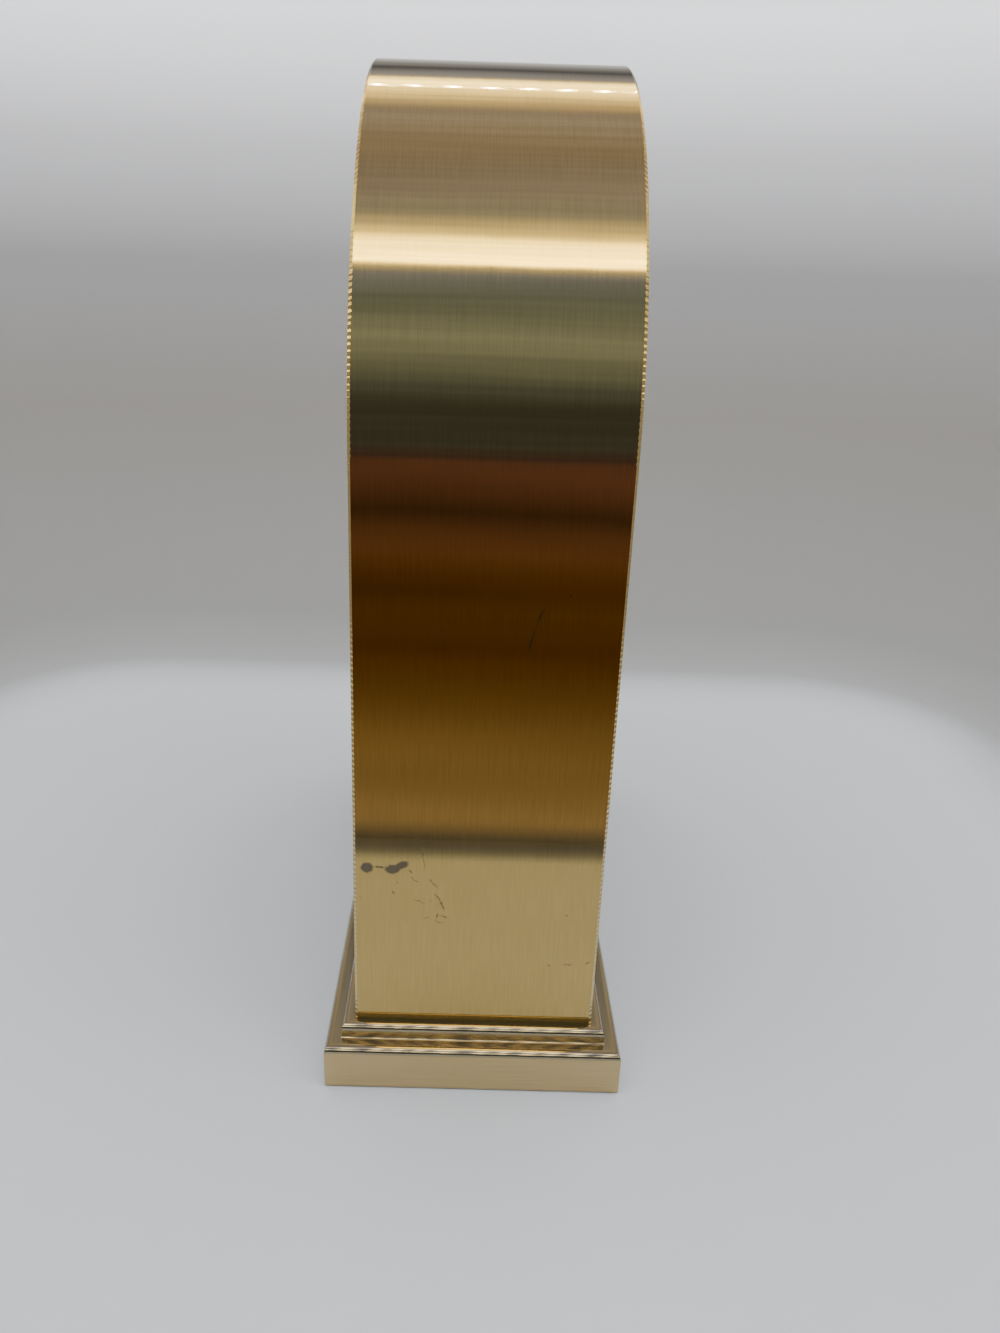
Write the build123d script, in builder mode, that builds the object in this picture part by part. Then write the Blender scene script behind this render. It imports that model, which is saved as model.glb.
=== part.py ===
from build123d import *
import os
from math import asin, cos, radians, sin, sqrt

# A brass arch-top mantel clock with a quartz movement, in millimetres, +Z up.
# The origin is on the table under the middle of the clock, and the dial looks towards -Y.

# Clearances and cuts
overrun = 1.0  # how far a cutting shape runs past the face that it cuts
fit_gap = 0.05  # between pieces that are soldered, pressed or screwed together
run_gap = 0.06  # radial, between a shaft and the hole that it turns in
moving_gap = 0.3  # between faces that pass each other

# Case
case_depth = 45.0
arch_radius = 62.0
side_height = 105.85  # straight side, from the plinth up to the spring of the arch
band_thickness = 2.0
band_chamfer = 0.35
floor_thickness = 4.0

# Plinth, from the table up
slab_face = 7.85
lower_round = 0.9
lower_ledge = 2.15
riser = 2.15
upper_round = 1.03
upper_ledge = 1.32
cove = 0.35
felt_thickness = 1.0
felt_proud = 0.2
felt_inset = 2.5
plinth_overhang = lower_round + lower_ledge + upper_round + upper_ledge
plinth_top_z = felt_proud + slab_face + lower_round + riser + upper_round
axis_z = plinth_top_z + side_height  # height of the dial's centre
front_y = -case_depth / 2
back_y = case_depth / 2
inner_radius = arch_radius - band_thickness

# Screws that pull the case down on the plinth
tie_spacing = 84.0
tie_shank_radius = 2.0
tie_head_radius = 3.5
tie_head_height = 3.0
tie_bite = 3.2

# Face plate and back plate
face_recess = 1.5
face_thickness = 3.0
back_recess = 3.0
back_thickness = 1.5
face_front_y = front_y + face_recess
face_back_y = face_front_y + face_thickness
plate_back_y = back_y - back_recess
plate_front_y = plate_back_y - back_thickness
plate_radius = inner_radius - fit_gap

# Pillars between the two plates
pillar_radius = 3.0
pillar_wall_gap = 1.5
foot_pillar_lift = 18.0
arch_pillar_angle = 45.0
plate_screw_radius = 1.5
plate_screw_head_radius = 2.8
plate_screw_head_height = 1.7
plate_screw_bite = 6.0
slot_width = 0.7
slot_depth = 0.7

# Bezel, glass and dial: the dial clears the pillars, and the bezel, glass and hands follow the dial
pillar_clearance = 1.45
bezel_overhang = 1.0  # bezel's edge past the dial's edge
bezel_flange = 6.0
glass_wall = 1.4
glass_seat = 1.4
bezel_height = 2.9
bezel_step = 0.9
bezel_crown_width = 4.6
lip_thickness = 0.9
glass_thickness = 1.6
glass_rise = 3.6
gasket_width = 1.1
gasket_thickness = 0.4
surround_slope = 1.1
dial_thickness = 0.8
dial_hole_radius = 4.15
dial_screw_count = 3
dial_screw_angle = 90.0
dial_screw_radius = 0.8
dial_screw_head_radius = 1.6
dial_screw_head_height = 1.0
dial_screw_bite = 1.2
dial_radius = plate_radius - pillar_wall_gap - 2 * pillar_radius - pillar_clearance
bezel_radius = dial_radius + bezel_overhang
opening_radius = bezel_radius - bezel_flange
glass_radius = opening_radius - glass_wall
sight_radius = glass_radius - glass_seat  # the part of the dial that shows
dial_front_y = face_back_y
dial_back_y = dial_front_y + dial_thickness
bezel_front_y = face_front_y - bezel_height
dial_screw_circle = (opening_radius + bezel_radius) / 2

# Movement housing
washer_radius = 9.0
washer_thickness = 0.5
module_corner = 3.0
shell_wall = 1.2
shell_lap = 0.75  # front shell's edge behind the train plate
bay_wall = 0.8
bay_lip = 0.2
contact_space = 1.7  # past each end of the battery
post_radius = 1.6
post_inset = 3.4
bushing_radius = 4.0
bushing_stand = 0.3  # thread left showing past the nut
nut_across_flats = 11.0
nut_thickness = 1.2
module_front_y = dial_back_y + washer_thickness
bushing_length = washer_thickness + dial_thickness + nut_thickness + bushing_stand

# Battery and coil, which set how wide and tall the housing is
coil_z = 21.8  # above the dial axis
flange_radius = 3.8
coil_wall_gap = 1.2
battery_radius = 7.1
battery_length = 49.2
battery_crimp = 0.6
nub_radius = 2.7
nub_length = 1.0
bay_gap = 0.4
contact_thickness = 0.3
contact_width = 6.0
coil_need = coil_z + flange_radius + coil_wall_gap
battery_need = (battery_length + nub_length) / 2 + contact_space
cavity_half = max(battery_need, coil_need)
module_half = cavity_half + shell_wall
module_size = 2 * module_half
battery_z = -cavity_half + bay_gap + battery_radius  # from the dial axis
bay_top = battery_z + battery_radius + bay_gap
battery_t = shell_wall + bay_gap + battery_radius  # from the movement's front
battery_depth = battery_t + battery_radius + bay_lip

# Wheel train, with every tooth form in shares of its own pitch
wheel_thickness = 0.8
pinion_extra = 0.1
layer_gap = 0.35
train_plate_thickness = 0.8
clutch_rise = 0.4
clutch_metal = 0.12
arbor_radius = 0.5
pivot_radius = 0.3
pivot_length = 0.6
addendum_share = 0.85
dedendum_share = 1.15
root_width_share = 0.52
tip_width_share = 0.18
cannon_teeth = 12
minute_teeth = 36
minute_pinion_teeth = 10
hour_teeth = 40
centre_teeth = 64
third_pinion_teeth = 8
third_teeth = 60
seconds_pinion_teeth = 8
seconds_teeth = 60
intermediate_pinion_teeth = 12
intermediate_teeth = 60
rotor_pinion_teeth = 10
motion_distance = 9.6  # dial axis to minute wheel
third_distance = 8.6  # dial axis to third wheel
intermediate_distance = 8.64  # dial axis to intermediate wheel
rotor_distance = 7.0  # intermediate wheel to rotor
motion_angle = -10.0
third_angle = 180.0
intermediate_angle = 75.0
rotor_angle = 150.0
window_count = 4
window_share = 0.2  # radius of a lightening hole to the wheel's radius
window_circle_share = 0.6

# Depths from the movement's front face, layer by layer towards the back
hour_t = shell_wall + layer_gap
minute_t = hour_t + wheel_thickness + layer_gap
train_plate_t = minute_t + wheel_thickness + layer_gap
front_shell_depth = train_plate_t + train_plate_thickness + shell_lap
clutch_t = train_plate_t + train_plate_thickness + fit_gap
centre_t = clutch_t + clutch_rise + fit_gap
third_t = centre_t + wheel_thickness + layer_gap
seconds_t = third_t + wheel_thickness + layer_gap
intermediate_t = seconds_t + wheel_thickness + layer_gap

# Arbors on the dial axis, from the inside out
seconds_arbor_radius = 0.5
minute_tube_radius = 1.55
hour_pipe_radius = 2.5
minute_spigot_radius = 1.2
hour_hand_stand = 0.3  # hour hand in front of the bushing's thread
hand_spacing = 0.4
hand_thickness = 0.3
hand_nut_radius = 2.3
hand_nut_height = 1.0
minute_bore_radius = seconds_arbor_radius + run_gap
hour_bore_radius = minute_tube_radius + run_gap
bushing_bore_radius = hour_pipe_radius + run_gap

# Hands
hour_hand_margin = 18.2  # from its tip to the edge of the dial that shows
hour_hand_width = 4.6
hour_hub_radius = 4.2
minute_hand_margin = 6.2
minute_hand_width = 3.4
minute_hub_radius = 3.2
hand_tail_share = 0.32
hand_belly_share = 0.42
hand_neck_share = 0.3
hour_hand_length = sight_radius - hour_hand_margin
minute_hand_length = sight_radius - minute_hand_margin

# Motor
magnet_radius = 2.5
magnet_length = 2.5
magnet_gap = 0.5
stator_thickness = 1.0
stator_border = 3.6
stator_lead = 0.7  # magnet's front before the stator's front
coil_length = 18.0
coil_radius = 3.4
coil_tube_radius = 1.9
flange_thickness = 0.8
core_height = 2.8
core_thickness = 0.9
leg_width = 3.2
peg_radius = 0.8
magnet_t = intermediate_t + wheel_thickness + pinion_extra + layer_gap
stator_t = magnet_t + stator_lead
magnet_end_t = magnet_t + magnet_length
boss_t = magnet_end_t + moving_gap
boss_radius = 1.5
boss_height = 2.15
module_depth = max(battery_depth, boss_t + boss_height + shell_wall)

# Circuit board
board_width = 9.0
board_height = 20.0
board_thickness = 0.8
board_wall_gap = 4.1
board_z = 5.0
board_post_spacing = 16.0
board_stand = 1.0
crystal_radius = 1.0
crystal_length = 6.0
chip_radius = 2.6
chip_height = 1.1
board_x = cavity_half - board_wall_gap - board_width / 2

# Setting knob
set_shaft_radius = 1.25
set_knob_radius = 5.5
set_knob_height = 4.0
set_knob_flutes = 12
flute_radius = 0.7

# Back door, hinged at +X
door_frame_width = 20.45  # back plate round the opening, where the hinge sits
door_overlap = 2.5
door_thickness = 1.2
door_knob_radius = 3.4
door_knob_neck_radius = 2.0
door_knob_height = 5.4
door_knob_inset = 6.0
spring_thickness = 0.5
spring_width = 8.0
spring_reach = 3.2
spring_foot = 7.0
door_opening_radius = plate_radius - door_frame_width
door_radius = door_opening_radius + door_overlap
door_front_y = plate_back_y + moving_gap
door_back_y = door_front_y + door_thickness
knob_x = -(door_radius - door_knob_inset)

# Hinge
knuckle_radius = 1.6
pin_radius = 0.8
pin_head_radius = 1.3
pin_head_height = 0.7
hinge_height = 22.0
knuckle_count = 5
knuckle_gap = 0.15
leaf_thickness = 0.8
leaf_width = 9.5
hinge_setback = 0.6
rivet_radius = 0.9
rivet_head_radius = 1.6
rivet_head_height = 0.6
rivet_spacing = 13.0
hinge_x = door_radius + knuckle_radius + hinge_setback
hinge_y = plate_back_y + knuckle_radius + moving_gap
hinge_foot_z = axis_z - hinge_height / 2
knuckle_height = hinge_height / knuckle_count


def facing(y, x=0, z=0):
    """Plane at depth y that looks out through the dial; x and z are taken from the dial axis."""
    return Plane(origin=(x, y, axis_z + z), x_dir=(1, 0, 0), z_dir=(0, -1, 0))


def backing(y, x=0, z=0):
    """Plane at depth y that looks out of the clock's back; x and z are taken from the dial axis."""
    return Plane(origin=(x, y, axis_z + z), x_dir=(-1, 0, 0), z_dir=(0, 1, 0))


def at(t):
    """Depth of a movement layer that lies t behind the movement's front face."""
    return module_front_y + t


def polar(radius, angle):
    """Point at this radius and angle, as the dial is seen from the front."""
    return (radius * cos(radians(angle)), radius * sin(radians(angle)))


def arch(radius, leg):
    """Outline of a round-topped plate with straight legs, drawn from the arch's centre."""
    with BuildSketch() as face:
        with BuildLine():
            Line((radius, 0), (radius, -leg))
            Line((radius, -leg), (-radius, -leg))
            Line((-radius, -leg), (-radius, 0))
            ThreePointArc((-radius, 0), (0, radius), (radius, 0))
        make_face()
    return face.sketch


def pitch_radius(teeth, spacing, mate_teeth):
    """Radius at which a wheel rolls on its mate, where their axes are spacing apart."""
    return spacing * teeth / (teeth + mate_teeth)


def toothed(teeth, rolling_radius, angle, gap=False):
    """Outline of a wheel or pinion, with a tooth, or a gap, turned towards the angle."""
    size = 2 * rolling_radius / teeth
    root = rolling_radius - dedendum_share * size
    tip = rolling_radius + addendum_share * size
    step = 360 / teeth
    start = angle + (step / 2 if gap else 0)
    corners = ((root, -root_width_share), (tip, -tip_width_share))
    corners += ((tip, tip_width_share), (root, root_width_share))
    points = []
    for tooth in range(teeth):
        for radius, width_share in corners:
            points.append(polar(radius, start + (tooth + width_share / 2) * step))
    with BuildSketch() as outline:
        with BuildLine():
            Polyline(*points, close=True)
        make_face()
    return outline.sketch


def cap_middle(radius, rise):
    """Middle of the arc from (radius, 0) to (0, rise) whose centre lies on the turning axis."""
    sphere_radius = (radius**2 + rise**2) / (2 * rise)
    half_angle = asin(radius / sphere_radius) / 2
    return (sphere_radius * sin(half_angle), rise - sphere_radius * (1 - cos(half_angle)))


def slotted_screw(head_radius, head_height, shank_radius, shank_length):
    """Cheese-head screw with its seat at the origin and its head up."""
    with BuildPart() as screw:
        with BuildSketch():
            Circle(head_radius)
        extrude(amount=head_height)
        fillet(screw.edges().group_by(Axis.Z)[-1], head_height / 3)
        with BuildSketch():
            Circle(shank_radius)
        extrude(amount=-shank_length)
        with BuildSketch(Plane.XY.offset(head_height)):
            Rectangle(2 * head_radius + overrun, slot_width)
        extrude(amount=-slot_depth, mode=Mode.SUBTRACT)
    return screw.part


def rivet(head_radius, head_height, shank_radius, shank_length):
    """Round-head rivet with its seat at the origin and its head up."""
    with BuildPart() as nail:
        with BuildSketch(Plane.XZ):
            with BuildLine():
                Line((0, 0), (head_radius, 0))
                ThreePointArc((head_radius, 0), cap_middle(head_radius, head_height), (0, head_height))
                Line((0, head_height), (0, 0))
            make_face()
        revolve(axis=Axis.Z)
        with BuildSketch():
            Circle(shank_radius)
        extrude(amount=-shank_length)
    return nail.part


def hand(length, width, hub_radius, bore_radius, y_back):
    """Leaf-shaped hand that points to twelve, with its back at the given depth."""
    belly = length * hand_belly_share
    tail = length * hand_tail_share
    neck = width * hand_neck_share / 2
    with BuildPart() as blade:
        with BuildSketch(facing(y_back)):
            with BuildLine():
                Line((neck, 0), (neck, hub_radius))
                Spline(
                    (neck, hub_radius),
                    (width / 2, belly),
                    (0, length),
                    tangents=((0, 1), (-width, length - belly)),
                )
                Spline(
                    (0, length),
                    (-width / 2, belly),
                    (-neck, hub_radius),
                    tangents=((-width, belly - length), (0, -1)),
                )
                Line((-neck, hub_radius), (-neck, 0))
                Line((-neck, 0), (-width / 4, -tail))
                Line((-width / 4, -tail), (width / 4, -tail))
                Line((width / 4, -tail), (neck, 0))
            make_face()
            Circle(hub_radius)
            Circle(bore_radius, mode=Mode.SUBTRACT)
        extrude(amount=hand_thickness)
    return blade.part


# Plinth: a machined brass slab with a stepped, rounded upper edge
tie_places = [(-tie_spacing / 2, 0), (tie_spacing / 2, 0)]
plinth_width = 2 * (arch_radius + plinth_overhang)
plinth_depth = case_depth + 2 * plinth_overhang
step_width = 2 * (arch_radius + upper_ledge + upper_round)
step_depth = case_depth + 2 * (upper_ledge + upper_round)
slab_top_z = felt_proud + slab_face + lower_round
with BuildPart() as plinth:
    with BuildSketch(Plane.XY.offset(felt_proud)):
        Rectangle(plinth_width, plinth_depth)
    extrude(amount=slab_face + lower_round)
    fillet(plinth.edges().group_by(Axis.Z)[-1], lower_round)
    with BuildSketch(Plane.XY.offset(slab_top_z)):
        Rectangle(step_width, step_depth)
    extrude(amount=riser + upper_round)
    fillet(plinth.edges().group_by(Axis.Z)[-1], upper_round)
    step_foot = plinth.edges().filter_by_position(Axis.Z, slab_top_z, slab_top_z)
    step_foot = step_foot.filter_by_position(Axis.X, -step_width / 2, step_width / 2)
    fillet(step_foot.filter_by_position(Axis.Y, -step_depth / 2, step_depth / 2), cove)
    with BuildSketch(Plane.XY.offset(felt_proud)):
        Rectangle(plinth_width - 2 * felt_inset, plinth_depth - 2 * felt_inset)
    extrude(amount=felt_thickness - felt_proud, mode=Mode.SUBTRACT)
    with BuildSketch(Plane.XY.offset(felt_thickness)):
        with Locations(*tie_places):
            Circle(tie_head_radius + fit_gap)
    extrude(amount=tie_head_height, mode=Mode.SUBTRACT)
    with BuildSketch(Plane.XY.offset(felt_thickness)):
        with Locations(*tie_places):
            Circle(tie_shank_radius + fit_gap)
    extrude(amount=plinth_top_z, mode=Mode.SUBTRACT)
plinth.part.label = "plinth"

felt_edge = felt_inset + fit_gap
with BuildPart() as base_felt:
    with BuildSketch():
        RectangleRounded(plinth_width - 2 * felt_edge, plinth_depth - 2 * felt_edge, felt_inset)
    extrude(amount=felt_thickness)
base_felt.part.label = "base_felt"

# Case band: one brass strip, bent into two straight sides and a half circle
mid_radius = arch_radius - band_thickness / 2
with BuildPart() as case_band:
    with BuildLine(facing(0)):
        Line((-mid_radius, -side_height), (-mid_radius, 0))
        ThreePointArc((-mid_radius, 0), (0, mid_radius), (mid_radius, 0))
        Line((mid_radius, 0), (mid_radius, -side_height))
    with BuildSketch(Plane(origin=(-mid_radius, 0, plinth_top_z))) as strip:
        Rectangle(band_thickness, case_depth)
        chamfer(strip.vertices().group_by(Axis.X)[0], band_chamfer)
    sweep()
case_band.part.label = "case_band"

# Case floor: a brass plate soldered between the feet of the band, tapped for the tie screws
with BuildPart() as case_floor:
    with BuildSketch(Plane.XY.offset(plinth_top_z)):
        with Locations((0, (face_back_y + plate_front_y) / 2)):
            Rectangle(2 * plate_radius, plate_front_y - face_back_y - 2 * fit_gap)
        with Locations(*tie_places):
            Circle(tie_shank_radius + fit_gap, mode=Mode.SUBTRACT)
    extrude(amount=floor_thickness)
case_floor.part.label = "case_floor"

tie_length = plinth_top_z - felt_thickness - tie_head_height + tie_bite
with BuildPart() as tie_screws:
    tie_screw = slotted_screw(tie_head_radius, tie_head_height - fit_gap, tie_shank_radius, tie_length)
    tie_seat_z = felt_thickness + tie_head_height
    with Locations(*[Plane(origin=(x, y, tie_seat_z), z_dir=(0, 0, -1)) for x, y in tie_places]):
        add(tie_screw)
tie_screws.part.label = "tie_screws"

# The places of the four pillars, from the dial axis
pillar_circle = plate_radius - pillar_wall_gap - pillar_radius
foot_pillar_z = foot_pillar_lift - side_height
pillar_places = [
    polar(pillar_circle, arch_pillar_angle),
    polar(pillar_circle, 180 - arch_pillar_angle),
    (-pillar_circle, foot_pillar_z),
    (pillar_circle, foot_pillar_z),
]
plate_leg = side_height - fit_gap

with BuildPart() as front_plate:
    with BuildSketch(facing(face_back_y)):
        add(arch(plate_radius, plate_leg))
        Circle(opening_radius, mode=Mode.SUBTRACT)
        with PolarLocations(dial_screw_circle, dial_screw_count, start_angle=dial_screw_angle):
            Circle(dial_screw_radius + fit_gap, mode=Mode.SUBTRACT)
    extrude(amount=face_thickness)
front_plate.part.label = "front_plate"

# Back plate, with the door opening, its screw holes and the hinge's rivet holes
hinge_leaf_x = hinge_x + knuckle_radius + moving_gap
rivet_x = hinge_leaf_x + (leaf_width - knuckle_radius) / 2
rivet_heights = [-rivet_spacing / 2, rivet_spacing / 2]
with BuildPart() as back_plate:
    with BuildSketch(facing(plate_back_y)):
        add(arch(plate_radius, plate_leg))
        Circle(door_opening_radius, mode=Mode.SUBTRACT)
        with Locations(*pillar_places):
            Circle(plate_screw_radius + fit_gap, mode=Mode.SUBTRACT)
        with Locations(*[(rivet_x, z) for z in rivet_heights]):
            Circle(rivet_radius + fit_gap, mode=Mode.SUBTRACT)
    extrude(amount=back_thickness)
back_plate.part.label = "back_plate"

with BuildPart() as pillars:
    with BuildSketch(facing(plate_front_y - fit_gap)):
        with Locations(*pillar_places):
            Circle(pillar_radius)
    extrude(amount=plate_front_y - face_back_y - 2 * fit_gap)
    with BuildSketch(facing(plate_front_y)):
        with Locations(*pillar_places):
            Circle(plate_screw_radius + fit_gap)
    extrude(amount=plate_screw_bite + overrun, mode=Mode.SUBTRACT)
pillars.part.label = "pillars"

with BuildPart() as plate_screws:
    plate_screw = slotted_screw(
        plate_screw_head_radius,
        plate_screw_head_height,
        plate_screw_radius,
        back_thickness + plate_screw_bite,
    )
    with Locations(*[backing(plate_back_y, x, z) for x, z in pillar_places]):
        add(plate_screw)
plate_screws.part.label = "plate_screws"

# Bezel: a turned ring with a flange on the plate, a rounded crown and a spigot through the opening
bore_radius = glass_radius + fit_gap
crown_radius = bezel_radius - bezel_step
lip_front_y = bezel_front_y + lip_thickness / 2
groove_y = lip_front_y + lip_thickness
spigot_y = face_back_y - moving_gap
crown_foot_y = face_front_y - bezel_step
crown_rise = bezel_height - bezel_step
crown_top_radius = crown_radius - bezel_crown_width / 2
crown_inner_radius = crown_radius - bezel_crown_width
dial_axis = Axis((0, 0, axis_z), (0, 1, 0))
side_section = Plane.XY.offset(axis_z)
with BuildPart() as bezel:
    with BuildSketch(side_section):
        with BuildLine():
            Line((bore_radius, groove_y), (bore_radius, spigot_y))
            Line((bore_radius, spigot_y), (opening_radius - fit_gap, spigot_y))
            Line((opening_radius - fit_gap, spigot_y), (opening_radius - fit_gap, face_front_y))
            Line((opening_radius - fit_gap, face_front_y), (bezel_radius, face_front_y))
            Line((bezel_radius, face_front_y), (bezel_radius, crown_foot_y))
            Line((bezel_radius, crown_foot_y), (crown_radius, crown_foot_y))
            EllipticalCenterArc(
                center=(crown_top_radius, crown_foot_y),
                x_radius=bezel_crown_width / 2,
                y_radius=crown_rise,
                start_angle=-90,
                arc_size=90,
            )
            Line((crown_top_radius, bezel_front_y), (crown_inner_radius, bezel_front_y))
            Line((crown_inner_radius, bezel_front_y), (sight_radius, lip_front_y))
            Line((sight_radius, lip_front_y), (sight_radius, groove_y))
            Line((sight_radius, groove_y), (bore_radius, groove_y))
        make_face()
    revolve(axis=dial_axis)
    with BuildSketch(facing(face_front_y)):
        with PolarLocations(dial_screw_circle, dial_screw_count, start_angle=dial_screw_angle):
            Circle(dial_screw_radius + fit_gap)
    extrude(amount=dial_screw_bite + fit_gap, mode=Mode.SUBTRACT)
bezel.part.label = "bezel"

# Rubber ring between the bezel's lip and the glass
with BuildPart() as glass_gasket:
    with BuildSketch(facing(groove_y + gasket_thickness)):
        Circle(glass_radius)
        Circle(glass_radius - gasket_width, mode=Mode.SUBTRACT)
    extrude(amount=gasket_thickness - fit_gap)
glass_gasket.part.label = "glass_gasket"

# Domed glass, ground flat round its edge where it seats
glass_front_y = groove_y + gasket_thickness
glass_back_y = glass_front_y + glass_thickness
dome_radius = sight_radius - fit_gap
dome_middle_radius, dome_middle_rise = cap_middle(dome_radius, glass_rise)
with BuildPart() as lens:
    with BuildSketch(side_section):
        with BuildLine():
            Line((0, glass_back_y - glass_rise), (0, glass_front_y - glass_rise))
            ThreePointArc(
                (0, glass_front_y - glass_rise),
                (dome_middle_radius, glass_front_y - dome_middle_rise),
                (dome_radius, glass_front_y),
            )
            Line((dome_radius, glass_front_y), (glass_radius, glass_front_y))
            Line((glass_radius, glass_front_y), (glass_radius, glass_back_y))
            Line((glass_radius, glass_back_y), (dome_radius, glass_back_y))
            ThreePointArc(
                (dome_radius, glass_back_y),
                (dome_middle_radius, glass_back_y - dome_middle_rise),
                (0, glass_back_y - glass_rise),
            )
        make_face()
    revolve(axis=dial_axis)
lens.part.label = "lens"

# Bevelled ring that holds the glass off the dial
with BuildPart() as dial_surround:
    with BuildSketch(side_section):
        with BuildLine():
            Polyline(
                (sight_radius, glass_back_y + fit_gap),
                (glass_radius, glass_back_y + fit_gap),
                (glass_radius, dial_front_y - fit_gap),
                (sight_radius - surround_slope, dial_front_y - fit_gap),
                close=True,
            )
        make_face()
    revolve(axis=dial_axis)
dial_surround.part.label = "dial_surround"

with BuildPart() as dial:
    with BuildSketch(facing(dial_back_y)):
        Circle(dial_radius)
        Circle(dial_hole_radius, mode=Mode.SUBTRACT)
        with PolarLocations(dial_screw_circle, dial_screw_count, start_angle=dial_screw_angle):
            Circle(dial_screw_radius + fit_gap, mode=Mode.SUBTRACT)
    extrude(amount=dial_thickness)
dial.part.label = "dial"

with BuildPart() as dial_screws:
    dial_screw = slotted_screw(
        dial_screw_head_radius,
        dial_screw_head_height,
        dial_screw_radius,
        dial_thickness + face_thickness + dial_screw_bite,
    )
    screw_angles = [dial_screw_angle + 360 * turn / dial_screw_count for turn in range(dial_screw_count)]
    screw_places = [polar(dial_screw_circle, angle) for angle in screw_angles]
    with Locations(*[backing(dial_back_y, x, z) for x, z in screw_places]):
        add(dial_screw)
dial_screws.part.label = "dial_screws"

with BuildPart() as rubber_washer:
    with BuildSketch(facing(module_front_y)):
        Circle(washer_radius)
        Circle(bushing_radius + fit_gap, mode=Mode.SUBTRACT)
    extrude(amount=washer_thickness)
rubber_washer.part.label = "rubber_washer"

with BuildPart() as dial_nut:
    with BuildSketch(facing(dial_front_y)):
        RegularPolygon(radius=nut_across_flats / 2, side_count=6, major_radius=False)
        Circle(bushing_radius + fit_gap, mode=Mode.SUBTRACT)
    extrude(amount=nut_thickness)
dial_nut.part.label = "dial_nut"

# Where the arbors stand, from the dial axis
motion_place = polar(motion_distance, motion_angle)
third_place = polar(third_distance, third_angle)
intermediate_place = polar(intermediate_distance, intermediate_angle)
rotor_step = polar(rotor_distance, rotor_angle)
rotor_place = (intermediate_place[0] + rotor_step[0], intermediate_place[1] + rotor_step[1])
post_reach = module_half - post_inset
bay_ceiling = bay_top + bay_wall
low_post_z = bay_ceiling + post_radius + contact_thickness + 2 * moving_gap
post_places = [(-post_reach, post_reach), (post_reach, post_reach)]
post_places += [(-post_reach, low_post_z), (post_reach, low_post_z)]
peg_places = [(-(coil_length + leg_width) / 2 - flange_thickness - layer_gap, coil_z)]
peg_places += [(-peg_places[0][0], coil_z)]
board_post_places = [(board_x, board_z - board_post_spacing / 2)]
board_post_places += [(board_x, board_z + board_post_spacing / 2)]
contact_x = cavity_half - fit_gap - contact_thickness / 2
notch_width = contact_thickness + 2 * moving_gap
bay_middle = (bay_top - cavity_half) / 2
bay_height = bay_top + cavity_half
board_back_t = module_depth - shell_wall - board_stand

# Front shell of the movement, with the threaded bushing that comes through the dial
with BuildPart() as movement_front_shell:
    with BuildSketch(facing(at(front_shell_depth))):
        RectangleRounded(module_size, module_size, module_corner)
    extrude(amount=front_shell_depth)
    with BuildSketch(facing(at(front_shell_depth))):
        RectangleRounded(2 * cavity_half, 2 * cavity_half, module_corner - shell_wall)
    extrude(amount=front_shell_depth - shell_wall, mode=Mode.SUBTRACT)
    with BuildSketch(facing(at(front_shell_depth))):
        with Locations((0, bay_top + bay_wall / 2)):
            Rectangle(2 * cavity_half, bay_wall)
        with Locations((-contact_x, bay_top + bay_wall / 2), (contact_x, bay_top + bay_wall / 2)):
            Rectangle(notch_width, bay_wall, mode=Mode.SUBTRACT)
    extrude(amount=front_shell_depth - shell_wall)
    with BuildSketch(facing(at(train_plate_t))):
        with Locations(*post_places):
            Circle(post_radius)
    extrude(amount=train_plate_t - shell_wall)
    with BuildSketch(facing(at(0))):
        Circle(bushing_radius)
    extrude(amount=bushing_length)
    with BuildSketch(facing(at(shell_wall))):
        Circle(bushing_bore_radius)
    extrude(amount=shell_wall + bushing_length, mode=Mode.SUBTRACT)
    with BuildSketch(facing(at(shell_wall))):
        with Locations(motion_place):
            Circle(pivot_radius + run_gap)
    extrude(amount=pivot_length + fit_gap, mode=Mode.SUBTRACT)
movement_front_shell.part.label = "movement_front_shell"

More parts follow.
